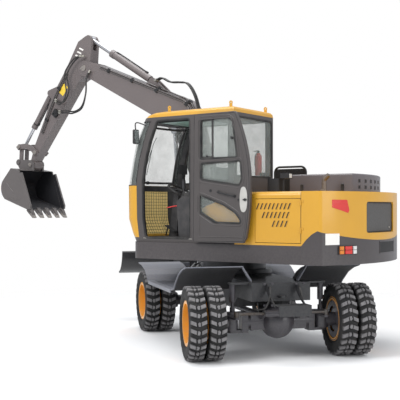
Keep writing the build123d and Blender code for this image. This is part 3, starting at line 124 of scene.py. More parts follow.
# ------------------------------------------------------------------ surfaces
def grid(points: np.ndarray, close_u: bool = False, close_v: bool = False) -> Mesh:
    """Quads over an array of points P[u, v].

    Args:
        points: an (n, m, 3) array.
        close_u: join the last row to the first.
        close_v: join the last column to the first.

    Returns:
        The vertices and the quad faces.
    """
    n, m = points.shape[:2]
    iu = np.arange(n if close_u else n - 1)
    iv = np.arange(m if close_v else m - 1)
    a, b = np.meshgrid(iu, iv, indexing="ij")
    c, d = (a + 1) % n, (b + 1) % m
    quads = np.stack([a * m + b, c * m + b, c * m + d, a * m + d], -1).reshape(-1, 4)
    return points.reshape(-1, 3), [tuple(q) for q in quads.tolist()]


def joined(parts: Sequence[Mesh]) -> Mesh:
    """Several meshes as one, with the face numbers moved on by the vertices before them."""
    vertices = np.concatenate([p[0] for p in parts])
    faces: list[tuple[int, ...]] = []
    start = 0
    for points, polygons in parts:
        faces += [tuple(i + start for i in f) for f in polygons]
        start += len(points)
    return vertices, faces


def repeated(points: np.ndarray, faces: list[tuple[int, ...]]) -> Mesh:
    """Copies of one shape from an array P[copy, vertex], sharing one list of faces."""
    n, m = points.shape[:2]
    every = [tuple(i + k * m for i in f) for k in range(n) for f in faces]
    return points.reshape(-1, 3), every


def lathe(profile: np.ndarray, steps: int = 48) -> Mesh:
    """A closed (radius, y) loop of points carried round the local y axis."""
    t = np.linspace(0, 2 * np.pi, steps, endpoint=False)
    r, y = np.asarray(profile, float).T
    points = np.stack(
        [np.outer(np.cos(t), r), np.broadcast_to(y, (steps, len(y))), np.outer(np.sin(t), r)], -1
    )
    return grid(points, close_u=True, close_v=True)


def turned_solid(profile: np.ndarray, steps: int = 32) -> Mesh:
    """A solid of revolution about y from a (radius, y) line that starts and ends near the axis."""
    vertices, faces = lathe(profile, steps)
    m = len(profile)
    faces = [f for f in faces if not {f[0] % m, f[3] % m} == {0, m - 1}]
    faces.append(tuple(range(0, steps * m, m)))
    faces.append(tuple(range(m - 1, steps * m, m))[::-1])
    return vertices, faces


def clockwise(p: np.ndarray) -> bool:
    """Whether an outline's points run clockwise, by the sign of its area."""
    return np.sum(p[:, 0] * np.roll(p[:, 1], -1) - np.roll(p[:, 0], -1) * p[:, 1]) < 0


def corners(x0: float, z0: float, x1: float, z1: float) -> list[tuple[float, float]]:
    """A rectangle's corners, round from the lowest."""
    return [(x0, z0), (x1, z0), (x1, z1), (x0, z1)]


def slab(outline: np.ndarray, low: float, high: float) -> Mesh:
    """A flat outline in the x-z plane given thickness along y.

    Args:
        outline: (k, 2) points, either way round.
        low: where it starts along y.
        high: where it ends along y.

    Returns:
        A closed prism whose faces point outwards.
    """
    p = np.asarray(outline, float)
    if clockwise(p):
        p = p[::-1]
    k = len(p)
    y = np.concatenate([np.full(k, low), np.full(k, high)])
    xz = np.concatenate([p, p])
    vertices = np.stack([xz[:, 0], y, xz[:, 1]], -1)
    i = np.arange(k)
    j = (i + 1) % k
    sides = np.stack([i, j, j + k, i + k], -1)
    return vertices, [tuple(range(k)), tuple(range(2 * k - 1, k - 1, -1))] + [
        tuple(q) for q in sides.tolist()
    ]


def rounded(width: float, height: float, radius: float, steps: int = 4) -> np.ndarray:
    """The outline of a rectangle with round corners, centred on the origin."""
    t = np.linspace(0, np.pi / 2, steps + 1)
    quarter = np.stack([np.cos(t), np.sin(t)], -1) * radius
    out = []
    for k, (sx, sz) in enumerate(((1, 1), (-1, 1), (-1, -1), (1, -1))):
        c, s = math.cos(k * math.pi / 2), math.sin(k * math.pi / 2)
        turned = quarter @ np.array([[c, s], [-s, c]])
        out.append(turned + (sx * (width / 2 - radius), sz * (height / 2 - radius)))
    return np.concatenate(out)


def smooth_line(points: Sequence[Point], steps: int = 12) -> np.ndarray:
    """A Catmull-Rom line through points: each span blends the tangents of its two ends."""
    p = np.asarray(points, float)
    ends = np.concatenate([[2 * p[0] - p[1]], p, [2 * p[-1] - p[-2]]])
    t = np.linspace(0, 1, steps, endpoint=False)[:, None]
    spans = [
        0.5
        * (
            2 * b
            + (c - a) * t
            + (2 * a - 5 * b + 4 * c - d) * t**2
            + (3 * b - a - 3 * c + d) * t**3
        )
        for a, b, c, d in zip(ends[:-3], ends[1:-2], ends[2:-1], ends[3:])
    ]
    return np.concatenate([*spans, p[-1:]])


def swept(section: np.ndarray, path: np.ndarray, closed: bool = False) -> Mesh:
    """A flat section carried along a path without twisting.

    Args:
        section: (k, 2) points across the path.
        path: (n, 3) points.
        closed: whether the path returns to its start.

    Returns:
        A tube of quads, with flat ends where the path is open.
    """
    path = np.asarray(path, float)
    tangent = unit(np.gradient(path, axis=0)) if not closed else unit(
        np.roll(path, -1, 0) - np.roll(path, 1, 0)
    )
    side = np.zeros_like(path)
    start = np.cross(tangent[0], (0, 0, 1.0))
    if np.linalg.norm(start) < 1e-3:
        start = np.cross(tangent[0], (0, 1.0, 0))
    side[0] = unit(start)
    for i in range(1, len(path)):  # carries the frame from point to point
        s = side[i - 1] - tangent[i] * np.dot(side[i - 1], tangent[i])
        side[i] = unit(s)
    up = np.cross(side, tangent)
    sec = np.asarray(section, float)
    points = (
        path[:, None]
        + side[:, None] * sec[None, :, :1]
        + up[:, None] * sec[None, :, 1:]
    )
    vertices, faces = grid(points, close_u=closed, close_v=True)
    if not closed:
        k, n = len(sec), len(path)
        faces.append(tuple(range(k))[::-1])
        faces.append(tuple(range((n - 1) * k, n * k)))
    return vertices, faces


def ring(radius: float, steps: int = 12) -> np.ndarray:
    """A circle's points, for the section of a pipe or hose."""
    t = np.linspace(0, 2 * np.pi, steps, endpoint=False)
    return np.stack([np.cos(t), np.sin(t)], -1) * radius


def pipe(path: np.ndarray, radius: float, steps: int = 12) -> Mesh:
    """A round bar along a path."""
    return swept(ring(radius, steps), path)


def moved(mesh: Mesh, axes: Axes) -> Mesh:
    """A mesh from local axes into the row frame."""
    return axes.place(mesh[0]), mesh[1]


def hexagon_bolt(across: float, height: float) -> Mesh:
    """A bolt head along +y: a hexagon with a chamfered crown on a thin round washer."""
    t = np.linspace(0, 2 * np.pi, 6, endpoint=False)
    r = across / math.sqrt(3)
    rows = [(0.0, r), (height * 0.75, r), (height, r * 0.86)]
    points = np.stack([np.stack([np.cos(t) * q, np.full(6, h), np.sin(t) * q], -1) for h, q in rows])
    head = grid(points[::-1], close_v=True)
    head[1].append(tuple(range(6)))
    washer = turned_solid(
        np.array(corners(0.001, 0.0, across * 0.72, height * 0.18))[::-1], 18
    )
    return joined([head, washer])


# ------------------------------------------------------------------ pieces
def new_object(name: str, data: Any) -> bpy.types.Object:
    """An object for some data, linked to the scene."""
    obj = bpy.data.objects.new(name, data)
    bpy.context.scene.collection.objects.link(obj)
    return obj


def sharp_edges(obj: bpy.types.Object, degrees: float) -> None:
    """Smooth shading, with edges sharper than an angle kept crisp."""
    mesh = obj.data
    mesh.polygons.foreach_set("use_smooth", np.ones(len(mesh.polygons), bool))
    mesh.set_sharp_from_angle(angle=math.radians(degrees))


def add_piece(
    name: str,
    mesh: Mesh,
    body: str,
    finish: "Finish",
    bevel: float = 0.0,
    smooth: float = 35.0,
    slot: str = "",
    levels: int = 0,
) -> bpy.types.Object:
    """Put a mesh in the scene as a piece that rides on a body.

    Args:
        name: the piece's name.
        mesh: vertices in the row frame and faces.
        body: the rigid body that carries it.
        finish: its finish.
        bevel: width of rounded edges, or 0.
        smooth: the angle in degrees above which an edge stays sharp.
        slot: not used.
        levels: levels of subdivision.

    Returns:
        The new object, which sits at the origin.
    """
    data = bpy.data.meshes.new(name)
    data.from_pydata(np.asarray(mesh[0], float), [], mesh[1])
    data.validate()
    obj = new_object(name, data)
    sharp_edges(obj, smooth)
    data.materials.append(finish.material())
    if bevel:
        mod = obj.modifiers.new("edges", "BEVEL")
        mod.width, mod.segments, mod.limit_method = bevel, 2, "ANGLE"
        mod.angle_limit = math.radians(smooth)
        mod.harden_normals = True
    if levels:
        sub = obj.modifiers.new("rounding", "SUBSURF")
        sub.levels = sub.render_levels = levels
    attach(obj, body)
    LOG.info("%s on %s: %d faces", name, body, len(mesh[1]))
    return obj


def block(low: Point, high: Point) -> Mesh:
    """A box between two corners."""
    (x0, y0, z0), (x1, y1, z1) = low, high
    return slab(np.array(corners(x0, z0, x1, z1)), y0, y1)


def softened(outline: Sequence[Point], radius: float, steps: int = 5) -> np.ndarray:
    """A polygon whose corners are rounded.

    Args:
        outline: (k, 2) corners.
        radius: how far from each corner its curve starts, less where a side is short.
        steps: points on each corner's curve.

    Returns:
        The new outline, steps + 1 points for each corner.
    """
    p = np.asarray(outline, float)
    before, after = np.roll(p, 1, 0) - p, np.roll(p, -1, 0) - p
    reach = [
        np.minimum(radius, 0.45 * np.linalg.norm(v, axis=1))[:, None] * unit(v) for v in (before, after)
    ]
    a, b = p + reach[0], p + reach[1]
    t = np.linspace(0, 1, steps + 1)[None, :, None]
    curve = (1 - t) ** 2 * a[:, None] + 2 * t * (1 - t) * p[:, None] + t**2 * b[:, None]
    return curve.reshape(-1, 2)


def inset(outline: np.ndarray, distance: float) -> np.ndarray:
    """An outline moved inwards by a distance, with as many points as before."""
    p = np.asarray(outline, float)
    along = unit(np.roll(p, -1, 0) - np.roll(p, 1, 0))
    normal = np.stack([-along[:, 1], along[:, 0]], -1) * (-1 if clockwise(p) else 1)
    return p + normal * distance


def gasket(outline: np.ndarray, width: float, low: float, high: float) -> Mesh:
    """A flat ring that follows an outline in the x-z plane, width wide inwards, low to high along y."""
    p = np.asarray(outline, float)
    if clockwise(p):
        p = p[::-1]
    q = inset(p, width)
    rows = [(p, low), (p, high), (q, high), (q, low)]
    points = np.stack([np.stack([o[:, 0], np.full(len(o), y), o[:, 1]], -1) for o, y in rows], 1)
    return grid(points[:, ::-1], close_u=True, close_v=True)


def bead(outline: np.ndarray, radius: float, y: float) -> Mesh:
    """A round moulding that follows an outline in the x-z plane at one y."""
    p = np.asarray(outline, float)
    path = np.stack([p[:, 0], np.full(len(p), y), p[:, 1]], -1)
    return swept(ring(radius, 8), path, closed=True)


def arc_plate(
    angles: Point, low: float | Point, high: float | Point, inner: float, outer: float
) -> Mesh:
    """A plate on an upright cylinder about the origin.

    Args:
        angles: degrees from -x towards +y, rising.
        low: the lower edge's height, one for all or one at each angle.
        high: the upper edge's height, likewise.
        inner: the radius of the back.
        outer: the radius of the face.

    Returns:
        A closed curved plate.
    """
    t = np.radians(np.asarray(angles, float))
    out = np.stack([-np.cos(t), np.sin(t)], -1)
    edges = [(outer, low), (outer, high), (inner, high), (inner, low)]
    points = np.stack(
        [np.column_stack([out * r, np.broadcast_to(z, t.shape)]) for r, z in edges], 1
    )
    vertices, faces = grid(points, close_v=True)
    n = len(t)
    faces.append((0, 1, 2, 3)[::-1])
    faces.append(tuple(range((n - 1) * 4, n * 4)))
    return vertices, faces


def stud(at: Point, radius: float, height: float, axes_y: bool = True, steps: int = 20) -> Mesh:
    """A short round boss with a chamfered end, along +y or, if not axes_y, along +z."""
    c = min(radius, height) * 0.2
    line = np.array([(0.0005, 0.0), (radius, 0.0), (radius, height - c), (radius - c, height),
                     (0.0005, height)])
    vertices, faces = turned_solid(line[::-1], steps)
    if not axes_y:
        vertices = vertices[:, (0, 2, 1)] * (1, -1, 1)
    return vertices + np.asarray(at, float), faces


def rail(points: Sequence[Point], radius: float, steps: int = 10) -> Mesh:
    """A bent round bar through points."""
    return pipe(smooth_line(points, 8), radius, steps)


# ------------------------------------------------------------------ finishes
def linear(colour: str) -> tuple[float, float, float, float]:
    """An sRGB hex colour as linear red, green, blue and alpha."""
    values = [int(colour[i : i + 2], 16) / 255 for i in (1, 3, 5)]
    return (*(v / 12.92 if v <= 0.04045 else ((v + 0.055) / 1.055) ** 2.4 for v in values), 1.0)


def add_node(
    tree: bpy.types.NodeTree,
    kind: str,
    settings: dict[str, Any] | None = None,
    inputs: dict[str | int, Any] | None = None,
) -> bpy.types.Node:
    """Add a shader node.

    Args:
        tree: the material's or world's nodes.
        kind: the node's type, without its ShaderNode prefix.
        settings: the node's own properties.
        inputs: a value, or an output to link, for each named or numbered socket.

    Returns:
        The new node.
    """
    made = tree.nodes.new("ShaderNode" + kind)
    for key, value in (settings or {}).items():
        setattr(made, key, value)
    for key, value in (inputs or {}).items():
        if isinstance(value, bpy.types.NodeSocket):
            tree.links.new(value, made.inputs[key])
        else:
            made.inputs[key].default_value = value
    return made


def mix_colour(tree: bpy.types.NodeTree, factor: Any, a: Any, b: Any) -> Any:
    """The output of a colour mix of a and b by a factor, each a value or a socket."""
    made = add_node(
        tree, "Mix", {"data_type": "RGBA", "blend_type": "MIX"}, {0: factor, 6: a, 7: b}
    )
    return made.outputs[2]


def math_node(tree: bpy.types.NodeTree, operation: str, a: Any, b: Any = 0.0,
              clamp: bool = False) -> Any:
    """The output of one step of arithmetic on two values or sockets."""
    return add_node(
        tree, "Math", {"operation": operation, "use_clamp": clamp}, {0: a, 1: b}
    ).outputs[0]


def spread(tree: bpy.types.NodeTree, value: Any, low: float, high: float, to_low: float = 0.0,
           to_high: float = 1.0) -> Any:
    """A value between low and high carried over to another range, and held at its ends."""
    return add_node(
        tree, "MapRange", {"clamp": True},
        {"Value": value, "From Min": low, "From Max": high, "To Min": to_low, "To Max": to_high},
    ).outputs[0]


def bumped(tree: bpy.types.NodeTree, strength: float, distance: float, height: Any,
           normal: Any = None) -> Any:
    """The normal that a height bumps, starting from the surface's own or a given one."""
    inputs = {"Strength": strength, "Distance": distance, "Height": height}
    if normal is not None:
        inputs["Normal"] = normal
    return add_node(tree, "Bump", None, inputs).outputs[0]


def principled(tree: bpy.types.NodeTree, inputs: dict[str, Any]) -> Any:
    """The output of a principled surface with some inputs."""
    return add_node(tree, "BsdfPrincipled", None, inputs).outputs[0]


@dataclass(frozen=True)
class Finish:
    """A surface finish, named for what the real one is."""

    title: str
    colour: str
    roughness: float = 0.5

    def material(self) -> bpy.types.Material:
        """The finish's material, made the first time it is asked for."""
        found = bpy.data.materials.get(self.title)
        if found:
            return found
        made = bpy.data.materials.new(self.title)
        made.use_nodes = True
        tree = made.node_tree
        tree.nodes.clear()
        shader = self.shader(tree)
        add_node(tree, "OutputMaterial", inputs={"Surface": shader})
        return made

    def shader(self, tree: bpy.types.NodeTree) -> Any:
        """The finish's nodes; returns the shader's output."""
        raise NotImplementedError

    def place(self, tree: bpy.types.NodeTree) -> Any:
        """Object coordinates, which are the row frame's metres on every piece."""
        return add_node(tree, "TexCoord").outputs["Object"]

    def noise(self, tree: bpy.types.NodeTree, size_mm: float, detail: float = 3.0,
              rough: float = 0.5) -> Any:
        """Soft noise whose blotches are about size_mm across."""
        return add_node(
            tree, "TexNoise", {"noise_dimensions": "3D"},
            {"Vector": self.place(tree), "Scale": 1000.0 / size_mm, "Detail": detail,
             "Roughness": rough},
        ).outputs["Fac"]


@dataclass(frozen=True)
class Paint(Finish):
    """Sprayed enamel on steel plate: even colour, a faint orange peel that breaks up the
    highlights, dust that gathers low down and on upward faces, and edges rubbed to primer."""

    roughness: float = 0.34
    coat: float = 0.35
    mottle: float = 0.06
    dust: float = 0.25
    dust_colour: str = "#9a938c"
    dust_top: float = 1.6
    wear: float = 0.35
    wear_colour: str = "#4a4644"
    edge_mm: float = 4.0
    metallic: float = 0.0
    grain_mm: float = 3.0
    grain: float = 0.04

    def shader(self, tree: bpy.types.NodeTree) -> Any:
        """Blends mottle, dust and worn edges over the colour and bumps the surface."""
        geometry = add_node(tree, "NewGeometry")
        soft = add_node(tree, "Bevel", {"samples": 4}, {"Radius": self.edge_mm / 1000})
        broad = self.noise(tree, 420.0, 4.0)
        fine = self.noise(tree, 28.0, 5.0, 0.65)
        shade = mix_colour(
            tree, spread(tree, broad, 0.35, 0.7, 0.0, self.mottle), linear(self.colour),
            (0.0, 0.0, 0.0, 1.0)
        )
        # dust: more towards the ground and on faces that look up
        height = add_node(tree, "SeparateXYZ", inputs={0: self.place(tree)}).outputs[2]
        low = spread(tree, height, self.dust_top, 0.15)
        up = add_node(tree, "SeparateXYZ", inputs={0: geometry.outputs["Normal"]}).outputs[2]
        gathered = math_node(tree, "MAXIMUM", low, spread(tree, up, 0.6, 1.0, 0.0, 0.45))
        dusty = math_node(tree, "MULTIPLY", gathered, spread(tree, fine, 0.38, 0.66))
        dusty = math_node(tree, "MULTIPLY", dusty, self.dust, True)
        shade = mix_colour(tree, dusty, shade, linear(self.dust_colour))
        # rubbed edges: where the rounded normal leaves the flat one
        turn = add_node(
            tree, "VectorMath", {"operation": "DOT_PRODUCT"},
            {0: soft.outputs[0], 1: geometry.outputs["Normal"]},
        ).outputs["Value"]
        rubbed = math_node(tree, "MULTIPLY", spread(tree, turn, 0.97, 0.80),
                           spread(tree, fine, 0.46, 0.6))
        rubbed = math_node(tree, "MULTIPLY", rubbed, self.wear, True)
        shade = mix_colour(tree, rubbed, shade, linear(self.wear_colour))
        rough = math_node(tree, "ADD", spread(tree, fine, 0.3, 0.7, -0.05, 0.08), self.roughness)
        rough = math_node(tree, "ADD", rough, math_node(tree, "MULTIPLY", dusty, 0.4), True)
        bump = bumped(tree, self.grain, 0.004, self.noise(tree, self.grain_mm * 4, 2.0), soft.outputs[0])
        return principled(tree, {"Base Color": shade, "Roughness": rough, "Metallic": self.metallic,
             "Coat Weight": self.coat, "Coat Roughness": 0.12, "Normal": bump})


@dataclass(frozen=True)
class Rubber(Finish):
    """Vulcanised tyre rubber: near black in the grooves and on the walls, grey with dried dust
    on the tread faces that touch the ground, by the piece's own worn attribute."""

    roughness: float = 0.78
    face_colour: str = "#777576"

    def shader(self, tree: bpy.types.NodeTree) -> Any:
        """Mixes the face colour in where the attribute worn is 1, broken up by noise."""
        worn = add_node(tree, "Attribute", {"attribute_name": "worn"}).outputs["Fac"]
        patches = self.noise(tree, 60.0, 5.0, 0.6)
        amount = math_node(tree, "MULTIPLY", worn, spread(tree, patches, 0.25, 0.62, 0.62, 1.0), True)
        film = spread(tree, self.noise(tree, 160.0, 4.0), 0.4, 0.7, 0.0, 0.10)
        shade = mix_colour(tree, film, linear(self.colour), linear("#6a6560"))
        shade = mix_colour(tree, amount, shade, linear(self.face_colour))
        bump = bumped(tree, 0.25, 0.002, self.noise(tree, 6.0, 4.0))
        return principled(tree, {"Base Color": shade, "Roughness": self.roughness, "Normal": bump})


@dataclass(frozen=True)
class BareSteel(Finish):
    """Ground or plated steel: metal, with fine scratches that vary its gloss."""

    roughness: float = 0.3
    rust: float = 0.0
    scratch_mm: float = 9.0

    def shader(self, tree: bpy.types.NodeTree) -> Any:
        """A metal whose roughness and bump follow stretched noise."""
        streak = add_node(
            tree, "TexNoise", None,
            {"Vector": add_node(tree, "Mapping", None,
                                {"Vector": self.place(tree), "Scale": (1.0, 1.0, 0.15)}).outputs[0],
             "Scale": 1000.0 / self.scratch_mm, "Detail": 4.0},
        ).outputs["Fac"]
        stain = math_node(tree, "MULTIPLY", spread(tree, self.noise(tree, 45.0, 5.0, 0.6), 0.5, 0.68),
                          self.rust)
        shade = mix_colour(tree, stain, linear(self.colour), linear("#5d4c40"))
        rough = math_node(tree, "ADD", spread(tree, streak, 0.3, 0.7, -0.06, 0.12), self.roughness)
        rough = math_node(tree, "ADD", rough, math_node(tree, "MULTIPLY", stain, 0.4), True)
        bump = bumped(tree, 0.08, 0.001, streak)
        return principled(tree, {"Base Color": shade, "Metallic": 0.9, "Roughness": rough,
                                 "Normal": bump})


@dataclass(frozen=True)
class Glass(Finish):
    """Tempered sheet glass, seen as a thin grey film with smears of dust and sharp reflections."""

    roughness: float = 0.04
    clear: float = 0.20

    def shader(self, tree: bpy.types.NodeTree) -> Any:
        """Lets light through by alpha, a little less where the dust lies."""
        smear = spread(tree, self.noise(tree, 300.0, 5.0, 0.6), 0.4, 0.75, self.clear, self.clear + 0.12)
        rough = spread(tree, self.noise(tree, 90.0, 4.0), 0.4, 0.8, self.roughness, self.roughness + 0.1)
        return principled(tree, {"Base Color": linear(self.colour), "Roughness": rough, "Alpha": smear,
             "Coat Weight": 0.5, "Coat Roughness": 0.02})


@dataclass(frozen=True)
class PaintedGlowSheet(Finish):
    """A thin pale sheet with a painted glow that stands for daylight behind it: bright inside the dark
    cab, with faint dust.
    """

    glow: float = 0.3

    def shader(self, tree: bpy.types.NodeTree) -> Any:
        """A dusty sheet whose painted glow is a fixed emission of its own colour."""
        film = spread(tree, self.noise(tree, 90.0, 4.0), 0.35, 0.75, 0.0, 0.3)
        shade = mix_colour(tree, film, linear(self.colour), linear("#b8a67c"))
        return principled(tree, {"Base Color": shade, "Roughness": 0.5, "Emission Color": shade,
                                 "Emission Strength": self.glow})


@dataclass(frozen=True)
class Plastic(Finish):
    """Moulded ABS or rubber trim with a fine leather-like grain."""

    roughness: float = 0.55
    grain_mm: float = 2.5
    grain: float = 0.25

    def shader(self, tree: bpy.types.NodeTree) -> Any:
        """Cell-shaped grain under a colour that varies a little."""
        cells = add_node(
            tree, "TexVoronoi", {"feature": "F1"},
            {"Vector": self.place(tree), "Scale": 1000.0 / self.grain_mm / 2},
        ).outputs["Distance"]
        shade = mix_colour(
            tree, spread(tree, self.noise(tree, 120.0), 0.35, 0.7, 0.0, 0.18), linear(self.colour),
            linear("#77726d")
        )
        bump = bumped(tree, self.grain, 0.001, cells)
        return principled(tree, {"Base Color": shade, "Roughness": self.roughness, "Normal": bump})


@dataclass(frozen=True)
class Lens(Finish):
    """A moulded lamp lens or reflector: clear acrylic over a ribbed back, so it glints."""

    roughness: float = 0.18
    rib_mm: float = 8.0

    def shader(self, tree: bpy.types.NodeTree) -> Any:
        """Bands across the lens bump it and shade it lightly."""
        ribs = add_node(
            tree, "TexWave", {"wave_type": "BANDS", "bands_direction": "Z"},
            {"Vector": self.place(tree), "Scale": 1000.0 / self.rib_mm / 20 * math.pi},
        ).outputs["Fac"]
        shade = mix_colour(tree, spread(tree, ribs, 0.0, 1.0, 0.0, 0.25), linear(self.colour),
                           (0.02, 0.02, 0.02, 1.0))
        bump = bumped(tree, 0.3, 0.002, ribs)
        return principled(tree, {"Base Color": shade, "Roughness": self.roughness, "Coat Weight": 0.8,
             "Coat Roughness": 0.05, "Normal": bump})


@dataclass(frozen=True)
class Cloth(Finish):
    """Woven seat cloth: crossed threads, each drawn 3 mm wide so that they show, with a soft sheen."""

    roughness: float = 0.9
    thread_mm: float = 3.0

    def shader(self, tree: bpy.types.NodeTree) -> Any:
        """Two crossed sets of bands make the weave's height and its light and dark."""
        scale = 1000.0 / self.thread_mm / 20 * math.pi
        warp, weft = (
            add_node(
                tree, "TexWave", {"wave_type": "BANDS", "bands_direction": way},
                {"Vector": self.place(tree), "Scale": scale, "Distortion": 0.4},
            ).outputs["Fac"]
            for way in ("X", "Z")
        )
        weave = math_node(tree, "MULTIPLY", warp, weft)
        shade = mix_colour(tree, spread(tree, weave, 0.0, 1.0, 0.0, 0.5), linear(self.colour),
                           linear("#4b4b4e"))
        bump = bumped(tree, 0.5, 0.002, weave)
        return principled(tree, {"Base Color": shade, "Roughness": self.roughness, "Sheen Weight": 0.3,
             "Sheen Roughness": 0.5, "Normal": bump})


YELLOW = Paint("yellow_enamel", "#cf9a2b", wear_colour="#7a6a4a", dust=0.2, wear=0.25)
WHEEL_YELLOW = Paint("wheel_enamel", "#e39a26", dust=0.35, dust_top=1.0, wear=0.3, edge_mm=3)
GREY = Paint("dark_grey_enamel", "#423d3e", roughness=0.4, dust=0.3)
HOOD_GREY = Paint("hood_grey_enamel", "#5e585b", roughness=0.42, dust=0.25)
BOOM_GREY = Paint("warm_grey_enamel", "#675f5e", roughness=0.38, dust=0.2, wear=0.3)
CAB_GREY = Paint("cab_grey_enamel", "#484342", roughness=0.45, wear=0.15, mottle=0.1)
CHASSIS_BLACK = Paint("chassis_enamel", "#212225", roughness=0.45, coat=0.25, dust=0.28,
                      dust_colour="#65615e")
AXLE_GREY = Paint("axle_enamel", "#38363b", roughness=0.42, coat=0.3, dust=0.22, dust_colour="#6a6563")
FENDER_GREY = Paint("fender_enamel", "#6d707a", roughness=0.42, coat=0.15, dust=0.45,
                    dust_colour="#a39a92")
BUCKET_GREY = Paint("bucket_enamel", "#5b5655", roughness=0.42, dust=0.45, dust_top=3.4,
                    wear=0.8, wear_colour="#a09c98", dust_colour="#6f6862")
# the bucket's hollow darkened with painted shade, with some dust
BUCKET_HOLLOW_SHADE = Paint("bucket_hollow_painted_shade", "#232327", roughness=0.6, coat=0.0, dust=0.35, dust_top=1.6,
                      dust_colour="#56524f")
# dark under the fender arches: partly dirt, partly painted shade
FENDER_UNDERSIDE_DIRT_AND_SHADE = Paint("dirt_and_painted_shade_underside", "#29292c", roughness=0.7, coat=0.0, dust=0.3, dust_colour="#5f5a56")
PIPE_GREY = Paint("pipe_enamel", "#4d4847", roughness=0.4, dust=0.2, wear=0.2)
PANEL_GREY = Paint("panel_enamel", "#4b4947", roughness=0.5, coat=0.1, dust=0.5, dust_colour="#77736c")
MATT_BLACK = Paint("matt_black_enamel", "#1d1d1f", roughness=0.6, coat=0.0, dust=0.3)
CAST = Paint("painted_casting", "#3d3d40", roughness=0.6, coat=0.0, grain=0.25, grain_mm=2, dust=0.3)
# the nose's inner panel glows with painted light, standing for daylight through it
NOSE_PAINTED_GLOW = PaintedGlowSheet("painted_glow_yellow_sheet", "#d9bf7c", glow=0.32)
TYRE = Rubber("tyre_rubber", "#141415")
HOSE = Plastic("hose_rubber", "#19191a", roughness=0.5, grain=0.1)
SEAL = Plastic("rubber_seal", "#161617", roughness=0.6, grain=0.1)
TRIM = Plastic("moulded_abs", "#2b2a2c", roughness=0.5)
LEVER_RED = Plastic("red_moulded_plastic", "#c42f2c", roughness=0.35, grain=0.05)
LATCH = Plastic("pale_moulded_plastic", "#b9b7b2", roughness=0.4, grain=0.05)
CHROME = BareSteel("hard_chrome", "#cfcfd2", roughness=0.12)
DUSTY_CHROME = BareSteel("dusty_chrome", "#5c5855", roughness=0.5, rust=0.5)
STEEL = BareSteel("worn_steel", "#a6a09a", roughness=0.42, rust=0.4)
ZINC = BareSteel("zinc_plate", "#b4b1a8", roughness=0.35, rust=0.15)
EXHAUST = BareSteel("heated_steel", "#7d746c", roughness=0.45, rust=0.5)
GLAZING = Glass("tempered_glass", "#a3aaa5")
HATCH_GLASS = Plastic("tinted_polycarbonate", "#86a79c", roughness=0.3, grain=0.02)
MIRROR = BareSteel("mirror_glass", "#d5dadb", roughness=0.04)
RED_LENS = Lens("red_acrylic", "#d8322c")
AMBER_LENS = Lens("amber_acrylic", "#e08325")
CLEAR_LENS = Lens("clear_acrylic", "#dfdfdc")
SEAT_CLOTH = Cloth("woven_upholstery", "#242427")
PLATE = Paint("blank_plate", "#e9e6e0", roughness=0.35, coat=0.3, dust=0.15, wear=0.1, mottle=0.03)
PLATE_YELLOW = Paint("blank_yellow_plate", "#e8c63f", roughness=0.35, dust=0.15, wear=0.1, mottle=0.03)

CAD_FINISHES: dict[Finish, tuple[str, ...]] = {
    TYRE: ("front_left_tyres", "front_right_tyres", "rear_left_tyres", "rear_right_tyres"),
    WHEEL_YELLOW: ("front_left_rims", "front_right_rims", "rear_left_rims", "rear_right_rims"),
    YELLOW: ("body_shell", "tail_cowl", "hydraulic_tank", "tool_box", "service_door", "cab_roof",
             "cab_nose_panel"),
    GREY: ("counterweight", "revolving_frame", "boom_cylinder_barrel"),
    HOOD_GREY: ("engine_hood",),
    BOOM_GREY: ("boom", "arm", "bucket_rocker", "bucket_link", "arm_cylinder_barrel",
                "bucket_cylinder_barrel"),
    CAB_GREY: ("cab_frame", "cab_left_side", "cab_right_side", "cab_door"),
    CHASSIS_BLACK: ("chassis_frame", "slew_ring", "dozer_blade", "front_step", "blade_cylinder_barrel"),
    AXLE_GREY: ("front_axle", "rear_axle", "left_knuckle", "right_knuckle", "axle_lock_cylinders",
                "drive_shaft", "steering_ram"),
    FENDER_GREY: ("left_fender", "right_fender"),
    BUCKET_GREY: ("bucket",),
    MATT_BLACK: ("tank_guard", "rear_work_lamp", "intake_box"),
    CAST: ("engine_block",),
    EXHAUST: ("exhaust_pipe",),
    CHROME: ("boom_cylinder_rod", "arm_cylinder_rod", "bucket_cylinder_rod", "blade_cylinder_rod"),
    DUSTY_CHROME: ("steering_rod",),
    GLAZING: ("cab_glass", "cab_door_glass"),
    SEAT_CLOTH: ("operator_seat",),
    TRIM: ("cab_controls",),
}


